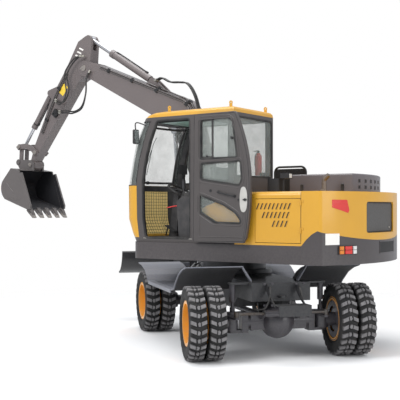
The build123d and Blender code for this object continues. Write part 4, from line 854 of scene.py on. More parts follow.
# ------------------------------------------------------------------ studio
@dataclass
class Studio:
    """A pale floor, a white surround and soft lamps, with the camera at eye height."""

    slew: np.ndarray
    camera_from_slew: tuple[float, float, float] = (11.995, -3.821, 1.902)
    yaw: float = 15.345
    sensor_mm: float = 36.0
    lens_mm: float = 75.915
    shift_up: float = 0.023125
    floor_half: float = 30.0
    fade: tuple[float, float] = (4.2, 8.0)
    key: float = 900.0
    fill: float = 420.0
    sky: float = 0.62

    def camera(self) -> None:
        """A level camera, shifted up a little instead of tilted."""
        data = bpy.data.cameras.new("camera")
        data.sensor_width = self.sensor_mm
        data.lens = self.lens_mm
        data.shift_y = self.shift_up
        data.clip_end = 200.0
        obj = new_object("camera", data)
        obj.location = self.slew + np.array(self.camera_from_slew)
        a = math.radians(self.yaw)
        obj.rotation_euler = (math.pi / 2, 0.0, math.atan2(math.cos(a), math.sin(a)))
        bpy.context.scene.camera = obj

    def floor(self) -> None:
        """A broad floor that takes the object's shadow and fades to the white surround."""
        h = self.floor_half
        data = bpy.data.meshes.new("floor")
        data.from_pydata([(-h, -h, 0), (h, -h, 0), (h, h, 0), (-h, h, 0)], [], [(0, 1, 2, 3)])
        obj = new_object("floor", data)
        made = bpy.data.materials.new("pale_floor")
        made.use_nodes = True
        tree = made.node_tree
        tree.nodes.clear()
        place = add_node(tree, "TexCoord").outputs["Object"]
        away = add_node(
            tree, "VectorMath", {"operation": "DISTANCE"}, {0: place, 1: tuple(self.slew * (1, 1, 0))}
        ).outputs["Value"]
        path = add_node(tree, "LightPath")
        seen = math_node(tree, "MAXIMUM", path.outputs["Is Camera Ray"], path.outputs["Is Glossy Ray"])
        seen = math_node(tree, "MAXIMUM", seen, path.outputs["Is Transmission Ray"])
        gone = math_node(tree, "MULTIPLY", spread(tree, away, *self.fade), seen)
        base = add_node(
            tree, "BsdfDiffuse", None, {"Color": (0.93, 0.93, 0.93, 1.0), "Roughness": 0.0}
        ).outputs[0]
        clear = add_node(tree, "BsdfTransparent").outputs[0]
        both = add_node(tree, "MixShader", None, {0: gone, 1: base, 2: clear}).outputs[0]
        add_node(tree, "OutputMaterial", inputs={"Surface": both})
        data.materials.append(made)

    def surround(self) -> None:
        """A white world for what the camera and reflections see, and a plain grey one as light."""
        world = bpy.data.worlds.new("surround")
        world.use_nodes = True
        tree = world.node_tree
        tree.nodes.clear()
        path = add_node(tree, "LightPath")
        seen = math_node(tree, "MAXIMUM", path.outputs["Is Camera Ray"],
                         path.outputs["Is Transmission Ray"])
        light = add_node(
            tree, "Background", None, {"Color": (0.92, 0.95, 1.0, 1.0), "Strength": self.sky}
        ).outputs[0]
        white = add_node(tree, "Background", None, {"Color": (1, 1, 1, 1), "Strength": 1.0}).outputs[0]
        both = add_node(tree, "MixShader", None, {0: seen, 1: light, 2: white}).outputs[0]
        add_node(tree, "OutputWorld", inputs={"Surface": both})
        bpy.context.scene.world = world

    def lamp(self, name: str, place: Point, at: Point, size: float, watts: float) -> None:
        """A square soft lamp at a place, turned to face a point."""
        data = bpy.data.lights.new(name, "AREA")
        data.energy, data.size = watts, size
        obj = new_object(name, data)
        obj.location = place
        way = Vector(at) - Vector(place)
        obj.rotation_euler = way.to_track_quat("-Z", "Y").to_euler()

    def build(self) -> None:
        """The whole studio."""
        self.camera()
        self.floor()
        self.surround()
        s = self.slew
        # place from the slewing centre, the height that it faces, its size and watts
        for name, place, aim, size, watts in (
            ("key_lamp", (5.0, -9.0, 9.0), 1.5, 6.0, self.key),
            ("fill_lamp", (10.0, 6.0, 5.0), 1.5, 7.0, self.fill),
            ("top_lamp", (-1.0, 0.0, 11.0), 1.0, 9.0, self.key * 0.9),
        ):
            self.lamp(name, s + place, s + (0, 0, aim), size, watts)
        bpy.context.scene.view_settings.view_transform = "Standard"


# ------------------------------------------------------------------ where things are
def find_joint(frame: dict[str, Any], value: str, key: str = "name") -> dict[str, Any]:
    """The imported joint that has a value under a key."""
    return next(j for j in frame["joints"] if j[key] == value)


def joint_point(frame: dict[str, Any], name: str) -> np.ndarray:
    """The row point on a joint's axis."""
    return np.array(find_joint(frame, name)["pos_m"])


class Site:
    """The axes of each sub-assembly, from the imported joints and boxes."""

    def __init__(self, frame: dict[str, Any], slew: np.ndarray) -> None:
        """Works out every set of axes once."""
        self.frame = frame
        up = np.array([0.0, 0.0, 1.0])
        self.chassis = Axes(slew, np.array([1.0, 0, 0]), np.array([0, 1.0, 0]), up)
        left = -unit(np.array(find_joint(frame, "boom_lift")["axis"]))
        forward = np.cross(left, up)
        self.upper = Axes(slew, forward, left, up)
        # the same origin with y towards the tail, and with y down for flat outlines
        self.rear = Axes(slew, left, -forward, up)
        self.flat = Axes(slew, forward, -up, left)
        foot, arm_pin = joint_point(frame, "boom_lift"), joint_point(frame, "arm_swing")
        tip = joint_point(frame, "bucket_curl")
        self.boom = self.along(foot, arm_pin)
        self.arm = self.along(arm_pin, tip)
        self.bucket = Axes(tip, forward, left, up)
        rocker, pin = joint_point(frame, "rocker_pivot"), joint_point(frame, "link_pivot")
        self.rocker = self.along(rocker, pin)

    def along(self, start: np.ndarray, end: np.ndarray) -> Axes:
        """Axes at start with x towards end, in the digging gear's plane."""
        x = unit(end - start)
        return Axes(start, x, self.upper.y, np.cross(x, self.upper.y))

    def points(self, node: str, axes: Axes) -> np.ndarray:
        """A node's vertices in some axes."""
        data = self.frame["nodes"][node].data
        co = np.empty(len(data.vertices) * 3, np.float32)
        data.vertices.foreach_get("co", co)
        return (co.reshape(-1, 3) - axes.origin) @ np.stack([axes.x, axes.y, axes.z]).T

    def span(self, node: str, axes: Axes) -> tuple[np.ndarray, np.ndarray]:
        """A node's lowest and highest coordinates in some axes."""
        local = self.points(node, axes)
        return local.min(0), local.max(0)


@dataclass
class Assembly:
    """A sub-assembly's sizes and the pieces that they make."""

    site: Site

    def put(
        self, name: str, mesh: Mesh | Sequence[Mesh], finish: Finish, body: str = "upper_structure",
        axes: Axes | None = None, **how: Any,
    ) -> bpy.types.Object:
        """Add a piece drawn in some axes.

        Args:
            name: the piece's name.
            mesh: its mesh, or several to join.
            finish: its finish.
            body: the body that it rides on.
            axes: the axes it is drawn in, or None for the upper's.
            how: add_piece's bevel, smooth, slot and levels.

        Returns:
            The piece.
        """
        whole = mesh if isinstance(mesh[0], np.ndarray) else joined(mesh)
        return add_piece(name, moved(whole, axes or self.site.upper), body, finish, **how)

    def build(self) -> None:
        """Make the pieces."""
        raise NotImplementedError


# ------------------------------------------------------------------ wheels
@dataclass
class TwinTyres(Assembly):
    """Twin tyres with rows of chevron blocks, and the nuts on their discs."""

    radius: float = 0.469
    carcass: float = 0.445
    width: float = 0.226
    tread: float = 0.196
    pitch: float = 0.248
    bead: float = 0.288
    rows: int = 28
    rim_radius: float = 0.262
    nuts: int = 10
    nut_circle: float = 0.140
    disc: float = 0.02
    # a block's face as shares of its foot, across and around the tread
    draft: tuple[float, float] = (0.90, 0.86)
    sunk: float = 0.006
    shoulder_drop: float = 0.018
    shoulder_flare: float = 0.009
    crown_drop: float = 0.004

    def carcass_mesh(self, centre: float) -> Mesh:
        """One tyre's casing: a loop of wall, shoulder and crown points carried round the axle."""
        h, t, r = self.width / 2, self.tread / 2, self.carcass
        wall = [
            (self.rim_radius + 0.004, 0.080), (self.bead, 0.082), (self.bead + 0.008, 0.090),
            (self.bead + 0.022, 0.093), (self.bead + 0.030, 0.104), (self.bead + 0.060, h - 0.003),
            (self.bead + 0.068, h), (self.bead + 0.080, h - 0.001), (r - 0.045, h - 0.004),
            (r - 0.020, t + 0.004), (r - 0.006, t - 0.010), (r, t - 0.040), (r + 0.002, 0.0),
        ]
        right = np.array(wall)
        left = right[:-1][::-1] * (1, -1)
        loop = np.concatenate([right, left]) + (0, centre)
        return lathe(loop, 72)

    def blocks(self, centre: float, mirror: int) -> tuple[Mesh, np.ndarray]:
        """The tread blocks of one tyre.

        Each block is a flat outline across (u) and around (v) the tread, drafted inwards from
        its foot to its face and wrapped on the crown: angle = v / radius.

        Args:
            centre: the tyre's middle plane along the axle.
            mirror: 1 or -1, which way the chevrons point.

        Returns:
            The mesh, and how worn each vertex is: 1 on the faces.
        """
        p = 2 * math.pi / self.rows
        t = self.tread / 2
        # columns: u in half tread widths, v in pitches
        row_a = [
            [(-1.0, 0.02), (-0.26, 0.30), (-0.30, 0.80), (-1.0, 0.52)],
            [(-0.20, 0.34), (0.02, 0.30), (0.20, 0.50), (0.08, 0.86), (-0.22, 0.84)],
            [(0.34, 0.34), (1.0, 0.06), (1.0, 0.54), (0.30, 0.84)],
        ]
        row_b = [[(-u, v) for u, v in lug] for lug in row_a]
        shapes = [
            (row, np.array(lug) * (t, p)) for row, table in ((0, row_a), (1, row_b)) for lug in table
        ]
        parts: list[Mesh] = []
        worn: list[np.ndarray] = []
        for row, q in shapes:
            k = len(q)
            middle = q.mean(0)
            top = middle + (q - middle) * self.draft
            outer = np.abs(q[:, 0]) > 0.9 * t
            # feet stand in the casing, deeper at the shoulders; faces lie on a crowned drum
            foot_r = np.full(k, self.carcass - self.sunk) - self.shoulder_drop * outer
            crown = self.radius - self.crown_drop * (top[:, 0] / t) ** 2
            foot_u = q[:, 0] + np.sign(q[:, 0]) * self.shoulder_flare * outer
            u = np.concatenate([foot_u, top[:, 0]])
            v = np.concatenate([q[:, 1], top[:, 1]])
            r = np.concatenate([foot_r, crown])
            start = (np.arange(0, self.rows, 2) + row) * p
            angle = mirror * (start[:, None] + v[None])
            points = np.stack(
                [r * np.cos(angle), np.broadcast_to(centre + u, angle.shape), r * np.sin(angle)], -1
            )
            i = np.arange(k)
            j = (i + 1) % k
            sides = [tuple(f) for f in np.stack([i, j, j + k, i + k], -1).tolist()]
            faces = sides + [tuple(range(k, 2 * k))]
            a, b, c = points[0, k], points[0, k + 1], points[0, k + 2]
            if np.dot(np.cross(b - a, c - a), points[0, k] * (1, 0, 1)) < 0:
                faces = [f[::-1] for f in faces]
            parts.append(repeated(points, faces))
            worn.append(np.tile(np.concatenate([np.zeros(k), np.ones(k)]), len(start)))
        return joined(parts), np.concatenate(worn)

    def hub_parts(self, side: int, disc: float) -> Mesh:
        """Wheel nuts in a circle on the outer face of the disc."""
        t = np.linspace(0, 2 * np.pi, self.nuts, endpoint=False)
        bolt = hexagon_bolt(0.030, 0.024)
        local = bolt[0] * (1, side, 1)
        r = self.nut_circle
        ring_at = np.stack([np.cos(t) * r, np.full(self.nuts, disc), np.sin(t) * r], -1)
        faces = bolt[1] if side > 0 else [f[::-1] for f in bolt[1]]
        return repeated(ring_at[:, None] + local[None], faces)

    def build(self) -> None:
        """Four twin pairs, each in place of its plain tyres."""
        for end in ("front", "rear"):
            for hand, side in (("left", 1), ("right", -1)):
                joint = find_joint(self.site.frame, f"{end}_{hand}_wheel_spin")
                y = unit(np.array(joint["axis"]))
                z = np.array([0, 0, 1.0])
                axle = Axes(np.array(joint["pos_m"]), np.cross(y, z), y, z)
                parts, worn = [], []
                for twin in (-1, 1):
                    casing = self.carcass_mesh(twin * self.pitch / 2)
                    tread, faces = self.blocks(twin * self.pitch / 2, side)
                    parts += [casing, tread]
                    worn += [np.zeros(len(casing[0])), faces]
                mesh = moved(joined(parts), axle)
                obj = add_piece(f"{end}_{hand}_tread", mesh, f"{end}_{hand}_wheel", TYRE, smooth=28,
                                slot="tyre")
                layer = obj.data.attributes.new("worn", "FLOAT", "POINT")
                layer.data.foreach_set("value", np.concatenate(worn).astype(np.float32))
                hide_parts(f"{end}_{hand}_tyres")
                nuts = self.hub_parts(side, self.disc * side)
                self.put(f"{end}_{hand}_wheel_nuts", nuts, ZINC, f"{end}_{hand}_wheel", axes=axle,
                         slot="rim_yellow")


# ------------------------------------------------------------------ the upper's body
@dataclass
class BodyTrim(Assembly):
    """Louvres, the tail's panel, lamp, reflector, blank plate, pocket and seams, in the upper's axes."""

    side: float = 1.2
    tail: float = 2.3642
    # first and last slot's place along the side, their height, and how many
    louvres: tuple = ((-1.130, -1.592, 1.940, 9), (-1.215, -1.570, 1.828, 7), (-1.364, -1.548, 1.717, 4))
    slot_width: float = 0.024
    slot_height: float = 0.080
    slot_lean: float = 0.034

    def slots(self) -> tuple[Mesh, Mesh]:
        """The slanted slots, drawn as black plates of painted shade in their openings, and the pressed
        lip along each one's rear edge.
        """
        dark, lips = [], []
        for first, last, height, count in self.louvres:
            for x in np.linspace(first, last, count):
                h, w, s = self.slot_height / 2, self.slot_width / 2, self.slot_lean / 2
                ends = [(x - w + s, height - h), (x + w + s, height - h), (x + w - s, height + h),
                        (x - w - s, height + h)]
                dark.append(slab(softened(ends, 0.006, 3), self.side - 0.002, self.side + 0.0006))
                lip = [(x - w + s - 0.005, height - h), (x - w + s + 0.003, height - h),
                       (x - w - s + 0.003, height + h), (x - w - s - 0.005, height + h)]
                lips.append(slab(np.array(lip), self.side - 0.002, self.side + 0.005))
        return joined(dark), joined(lips)

    def lamps(self) -> list[tuple[str, Mesh, Finish]]:
        """The tail lamp: a black base with a pair of lenses in each of three colours."""
        r = self.tail
        base = np.linspace(16.3, 24.2, 9)
        back = arc_plate(base, 1.333, 1.443, r - 0.004, r + 0.010)
        made = [("tail_lamp_base", back, MATT_BLACK)]
        for name, a, b, finish in (
            ("amber", 22.15, 23.7, AMBER_LENS), ("red", 18.7, 21.6, RED_LENS),
            ("clear", 16.7, 18.2, CLEAR_LENS)
        ):
            lenses = []
            for low, high in ((1.340, 1.385), (1.391, 1.436)):
                t = np.linspace(a, b, 5)
                lenses.append(arc_plate(t, low, high, r + 0.008, r + 0.020))
            made.append((f"tail_lamp_{name}", joined(lenses), finish))
        return made

    def build(self) -> None:
        """Make the side's and the tail's trim."""
        r = self.tail
        dark, lips = self.slots()
        # the slots' black plates are painted shade in the louvre openings
        self.put("door_louvre_slots", dark, MATT_BLACK, "service_door", slot="black_metal")
        self.put("door_louvre_lips", lips, YELLOW, "service_door", slot="body_yellow")
        for name, mesh, finish in self.lamps():
            self.put(name, mesh, finish, bevel=0.0015)
        t = np.array([19.6, 20.06, 20.49, 22.0, 24.0, 26.45])
        low = np.array([1.888, 1.855, 1.860, 1.877, 1.898, 1.925])
        high = np.array([1.898, 1.962, 2.021, 2.021, 2.021, 2.022])
        self.put("red_reflector", arc_plate(t, low, high, r - 0.003, r + 0.004), RED_LENS)
        t = np.linspace(23.6, 28.9, 7)
        plate = arc_plate(t, 1.456, 1.598, r - 0.003, r + 0.002)
        self.put("blank_side_plate", plate, PLATE)
        # pocket in the counterweight: a black plate painted as the shade in its recess, inside a raised
        # grey rim
        t = np.linspace(-9.6, 3.2, 10)
        pocket = arc_plate(t, 1.330, 1.470, r - 0.003, r + 0.0008)
        self.put("counterweight_pocket", pocket, MATT_BLACK)
        edge = []
        for a, b, z0, z1 in ((-9.9, 3.5, 1.470, 1.478), (-9.9, 3.5, 1.322, 1.330),
                             (-9.9, -9.6, 1.322, 1.478), (3.2, 3.5, 1.322, 1.478)):
            t = np.linspace(a, b, 10 if b - a > 1 else 2)
            edge.append(arc_plate(t, z0, z1, r - 0.003, r + 0.003))
        self.put("counterweight_pocket_rim", edge, GREY, bevel=0.001)
        # the tail's panel lies in the cowl's recess
        rear = self.site.rear
        outline = softened(np.array(corners(-0.392, 1.602, 0.452, 1.994)), 0.045)
        self.put("tail_panel", slab(outline, 2.300, 2.309), PANEL_GREY, axes=rear, bevel=0.003)
        self.put("tail_panel_seal", gasket(outline, 0.012, 2.303, 2.313), SEAL, axes=rear)
        lock = stud((-0.30, 2.309, 1.66), 0.014, 0.006)
        self.put("tail_panel_lock", lock, ZINC, axes=rear)
        # seams between the body's panels and the rear edge of the side
        seam = corners(-1.7615, 1.470, -1.7565, 2.118)
        for hand, low, high in (("left", 1.196, 1.2004), ("right", -1.2004, -1.196)):
            self.put(f"{hand}_body_seam", slab(np.array(seam), low, high), SEAL)


@dataclass
class HoodTrim(Assembly):
    """Vents in the hood's rear face and its two latches, which turn with it."""

    radius: float = 2.1302
    angles: tuple = (6.4, 1.7, -3.1, -8.0, -13.1)
    heights: tuple = (2.279, 2.197)

    def build(self) -> None:
        """Rows of square vents, drawn as black plates of painted shade in the openings, with pressed
        rims, and rubber latches on the left side.
        """
        r = self.radius
        holes, rims = [], []
        for z in self.heights:
            for a in self.angles:
                t = np.linspace(a - 0.62, a + 0.62, 3)
                holes.append(arc_plate(t, z - 0.021, z + 0.021, r - 0.004, r + 0.0010))
                for da0, da1, z0, z1 in ((-0.74, 0.74, 0.021, 0.026), (-0.74, 0.74, -0.026, -0.021),
                                         (-0.74, -0.62, -0.026, 0.026), (0.62, 0.74, -0.026, 0.026)):
                    t = np.array([a + da0, a + da1])
                    rims.append(arc_plate(t, z + z0, z + z1, r - 0.004, r + 0.003))
        # the vents' black plates are painted shade in the holes
        self.put("hood_vents", holes, MATT_BLACK, "engine_hood")
        self.put("hood_vent_rims", rims, HOOD_GREY, "engine_hood")
        side = self.site.span("engine_hood", self.site.upper)[1][1]
        latches = []
        for x in (-1.35, -1.95):
            latches.append(block((x - 0.018, side - 0.002, 2.150), (x + 0.018, side + 0.014, 2.235)))
            latches.append(stud((x, side + 0.010, 2.225), 0.014, 0.010))
        self.put("hood_latches", latches, SEAL, "engine_hood", bevel=0.003)


@dataclass
class DeckGear(Assembly):
    """Filler caps, latches, the lamp's lens and the exhaust's clamp, in the upper's axes."""

    def build(self) -> None:
        """Make the right deck's and the exhaust's trim."""
        up = self.site.upper
        low, high = self.site.span("hydraulic_tank", up)
        middle = (low + high) / 2
        cap = [stud((middle[0] - 0.12, middle[1], high[2] - 0.002), 0.055, 0.030, False),
               stud((middle[0] - 0.12, middle[1], high[2] + 0.026), 0.040, 0.018, False),
               stud((middle[0] + 0.18, middle[1] - 0.05, high[2] - 0.002), 0.030, 0.022, False)]
        self.put("tank_caps", cap, MATT_BLACK, bevel=0.002)
        low, high = self.site.span("tool_box", up)
        lid = []
        for x in np.linspace(low[0] + 0.12, high[0] - 0.12, 2):
            lid.append(block((x - 0.02, low[1] - 0.012, high[2] - 0.10),
                             (x + 0.02, low[1] + 0.002, high[2] - 0.02)))
        self.put("tool_box_latches", lid, ZINC, bevel=0.002)
        low, high = self.site.span("rear_work_lamp", up)
        lens = slab(softened(corners(low[1] + 0.012, high[2] - 0.062, high[1] - 0.012, high[2] - 0.010),
                             0.008),
                    -low[0] - 0.002, -low[0] + 0.003)
        self.put("work_lamp_lens", lens, CLEAR_LENS, axes=self.site.rear)
        low, high = self.site.span("exhaust_pipe", up)
        clamp = stud(((low[0] + high[0]) / 2 + 0.035, (low[1] + high[1]) / 2, low[2] + 0.012), 0.047,
                     0.018, False)
        self.put("exhaust_clamp", clamp, EXHAUST, bevel=0.002)


# ------------------------------------------------------------------ cab
def bent(a: Point, b: Point, c: Point, steps: int) -> np.ndarray:
    """Points on the arc through three plan points, from the first towards the last."""
    (ax, ay), (bx, by), (cx, cy) = a, b, c
    d = 2 * (ax * (by - cy) + bx * (cy - ay) + cx * (ay - by))
    a2, b2, c2 = ax * ax + ay * ay, bx * bx + by * by, cx * cx + cy * cy
    ux = (a2 * (by - cy) + b2 * (cy - ay) + c2 * (ay - by)) / d
    uy = (a2 * (cx - bx) + b2 * (ax - cx) + c2 * (bx - ax)) / d
    r = math.hypot(ax - ux, ay - uy)
    angles = np.unwrap([math.atan2(y - uy, x - ux) for x, y in (a, b, c)])
    t = np.linspace(angles[0], angles[2], steps)
    return np.stack([ux + r * np.cos(t), uy + r * np.sin(t)], -1)


@dataclass
class CabShape:
    """The cab's plan at any height: straight sides and a front that bulges in three arcs."""

    left: float = 1.160
    right: float = 0.130
    rear: float = -0.740
    # height, the side's front edge, the bulge ahead of it
    sections: tuple = (
        (1.437, 0.868, 0.167), (1.560, 0.890, 0.230), (1.760, 0.918, 0.300), (2.300, 0.930, 0.292),
        (2.600, 0.878, 0.276), (2.880, 0.791, 0.299), (3.060, 0.723, 0.254), (3.205, 0.640, 0.247),
    )

    def at(self, z: float) -> tuple[float, float]:
        """The front edge and the bulge at a height."""
        table = np.array(self.sections)
        edge, bulge = (float(np.interp(z, table[:, 0], table[:, column])) for column in (1, 2))
        return edge, bulge

    def front(self, z: float, inset_by: float = 0.0, steps: int = 9) -> np.ndarray:
        """The front's plan line at a height from the right side to the left one, as (x, y)."""
        edge, bulge = self.at(z)
        half = (self.left - self.right) / 2 - inset_by
        mid = (self.left + self.right) / 2
        edge -= inset_by
        shoulder = half * 0.66
        p = [(edge, mid - half), (edge + bulge * 0.62, mid - half * 0.9),
             (edge + bulge * 0.88, mid - shoulder),
             (edge + bulge, mid), (edge + bulge * 0.88, mid + shoulder),
             (edge + bulge * 0.62, mid + half * 0.9), (edge, mid + half)]
        arcs = [bent(p[0], p[1], p[2], steps), bent(p[2], p[3], p[4], steps)[1:],
                bent(p[4], p[5], p[6], steps)[1:]]
        return np.concatenate(arcs)

    def shell(self, heights: Point, outer: float, inner: float, first: int, last: int) -> Mesh:
        """A curved panel of the front between two columns of the plan line.

        Args:
            heights: rising heights of its rows.
            outer: how far its face lies inside the cab's surface.
            inner: how far its back lies inside.
            first: the first column.
            last: the last column.

        Returns:
            A closed panel.
        """
        sheets = []
        for depth in (outer, inner):
            rows = [np.column_stack([self.front(z, depth)[first : last + 1],
                                     np.full(last + 1 - first, z)])
                    for z in heights]
            sheets.append(np.stack(rows))
        n, m = sheets[0].shape[:2]
        loop = np.concatenate([sheets[0], sheets[1][::-1]])
        vertices, faces = grid(loop, close_u=True)
        for column, flip in ((0, False), (m - 1, True)):
            for i in range(n - 1):
                face = (i * m + column, (i + 1) * m + column, (2 * n - 2 - i) * m + column,
                        (2 * n - 1 - i) * m + column)
                faces.append(face[::-1] if flip else face)
        return vertices, [f[::-1] for f in faces]


DOOR_OPEN = 178.0
SHAPE = CabShape()
# heights of the cab's floor, its windows' heads and the windscreen's foot
FLOOR, HEAD, WAIST = 1.500, 3.150, 2.250
DOORWAY = [(-0.008, 1.500), (0.763, 1.500), (0.806, 1.760), (0.818, 2.300), (0.766, 2.600),
           (0.679, 2.880), (0.562, 3.150), (-0.008, 3.150)]
QUARTER = corners(-0.650, 2.290, -0.148, 3.150)
RIGHT_WINDOWS = (
    corners(-0.650, 2.290, -0.120, 3.150),
    [(-0.040, 2.290), (0.835, 2.290), (0.783, 2.600), (0.696, 2.880), (0.581, 3.150), (-0.040, 3.150)],
    [(0.120, 1.560), (0.791, 1.560), (0.833, 2.200), (0.120, 2.200)],
)
UPPER_PANE = [(0.045, 2.587), (0.638, 2.587), (0.566, 3.063), (0.500, 3.112), (0.045, 3.108)]
MIDDLE_PANE = [(0.054, 2.310), (0.054, 2.513), (0.690, 2.533), (0.712, 2.297), (0.675, 2.219)]
LOWER_PANE = [(0.031, 1.865), (0.031, 2.094), (0.425, 1.958), (0.613, 1.852), (0.690, 1.761),
              (0.690, 1.722), (0.281, 1.731)]


@dataclass
class DoorTrim(Assembly):
    """Seals, inner panel, grab bar, latch and sliding pane of the door, in its shut axes."""

    inner: float = 1.163
    outer: float = 1.205

    def axes(self) -> Axes:
        """The upper's axes carried round the hinge with the open door."""
        up = self.site.upper
        hinge = joint_point(self.site.frame, "cab_door_hinge")
        x, y = (hinge - up.origin) @ up.x, (hinge - up.origin) @ up.y
        c, s = math.cos(math.radians(DOOR_OPEN)), math.sin(math.radians(DOOR_OPEN))
        ax, ay = up.x * c + up.y * s, up.y * c - up.x * s
        origin = hinge - ax * x - ay * y
        origin[2] = 0.0
        return Axes(origin, ax, ay, up.z)

    def outline(self) -> np.ndarray:
        """The door's rounded outline: straight behind, two bows in front."""
        low = bent((0.782, 1.528), (0.840, 1.931), (0.849, 2.268), 12)
        high = bent((0.849, 2.268), (0.782, 2.738), (0.629, 3.164), 14)[1:]
        rest = [(0.600, 3.190), (-0.078, 3.190), (-0.095, 1.460), (0.737, 1.460)]
        return np.concatenate([low, high, rest])

    def rubber(self, door: Axes) -> None:
        """The edge seal, the pressed lips and the seals of the three panes."""
        edge = inset(self.outline(), 0.020)
        self.put("door_edge_seal", bead(edge, 0.006, self.inner + 0.0035), SEAL, "cab_door", axes=door)
        lips = [bead(inset(softened(DOORWAY, 0.04), 0.034), 0.009, self.inner + 0.002)]
        for pane in (UPPER_PANE, MIDDLE_PANE, LOWER_PANE):
            lips.append(bead(inset(softened(pane, 0.030), -0.040), 0.008, self.inner + 0.002))
        self.put("door_pressed_lips", lips, CAB_GREY, "cab_door", axes=door, smooth=80)
        seals = []
        for pane in (UPPER_PANE, MIDDLE_PANE, LOWER_PANE):
            o = inset(softened(pane, 0.030), -0.018)
            seals.append(gasket(o, 0.026, self.inner - 0.0028, self.inner + 0.006))
            seals.append(gasket(o, 0.026, self.outer - 0.006, self.outer + 0.003))
        self.put("door_pane_seals", seals, SEAL, "cab_door", axes=door, bevel=0.001)

    def inner_side(self, door: Axes) -> None:
        """The sliding pane's frame and catches, the raised inner panel and its grab bar."""
        slide = softened([(0.052, 2.600), (0.232, 2.600), (0.232, 3.098), (0.052, 3.096)], 0.02)
        parts = [gasket(slide, 0.012, 1.176, 1.188), block((0.226, 1.176, 2.590), (0.246, 1.190, 3.105))]
        self.put("sliding_pane_frame", parts, TRIM, "cab_door", axes=door, bevel=0.001)
        catches = [stud((0.566, self.inner - 0.018, 2.84), 0.020, 0.018),
                   stud((0.150, 1.160, 2.615), 0.012, 0.014)]
        self.put("pane_catches", catches, MATT_BLACK, "cab_door", axes=door, bevel=0.002)
        # pressed inner panel: a shallow raised field between the middle and lower panes
        field_line = softened([(0.02, 2.262), (0.02, 2.130), (0.43, 2.000), (0.640, 1.890),
                               (0.735, 1.800), (0.760, 2.060), (0.735, 2.225), (0.675, 2.180)], 0.03)
        self.put("door_inner_panel", slab(field_line, self.inner - 0.0022, self.inner + 0.002), CAB_GREY,
                 "cab_door", axes=door, bevel=0.002)
        bar = rail([(0.345, self.inner, 2.132), (0.352, self.inner - 0.030, 2.130),
                    (0.47, self.inner - 0.034, 2.104),
                    (0.600, self.inner - 0.030, 2.076), (0.607, self.inner, 2.074)], 0.010)
        knobs = [stud((x, self.inner - 0.006, z), 0.020, 0.008)
                 for x, z in ((0.345, 2.132), (0.607, 2.074), (0.215, 2.150))]
        self.put("door_grab_bar", [bar, *knobs], MATT_BLACK, "cab_door", axes=door)

    def lock(self, door: Axes) -> None:
        """The latch on its plate and the handle outside."""
        t = np.linspace(0, 2 * np.pi, 28, endpoint=False)
        plate = np.stack([0.747 + 0.055 * np.sign(np.cos(t)) * np.abs(np.cos(t)) ** 0.8,
                          2.029 + 0.163 * np.sign(np.sin(t)) * np.abs(np.sin(t)) ** 0.8], -1)
        self.put("door_latch_plate", slab(plate, self.inner - 0.009, self.inner + 0.001), LATCH,
                 "cab_door", axes=door, bevel=0.003)
        latch = [block((0.745, self.inner - 0.022, 2.018), (0.800, self.inner - 0.008, 2.034)),
                 stud((0.775, self.inner - 0.024, 2.026), 0.018, 0.018),
                 block((0.655, self.inner - 0.008, 2.010), (0.682, self.inner, 2.036))]
        self.put("door_latch", latch, MATT_BLACK, "cab_door", axes=door, bevel=0.002)
        handle = [block((0.60, self.outer - 0.002, 1.985), (0.74, self.outer + 0.012, 2.045)),
                  rail([(0.615, self.outer + 0.006, 2.015), (0.640, self.outer + 0.010, 2.018),
                        (0.72, self.outer + 0.010, 2.018)], 0.008)]
        self.put("door_outer_handle", handle, MATT_BLACK, "cab_door", axes=door, bevel=0.003)

    def build(self) -> None:
        """Make the door's trim."""
        door = self.axes()
        self.rubber(door)
        self.inner_side(door)
        self.lock(door)


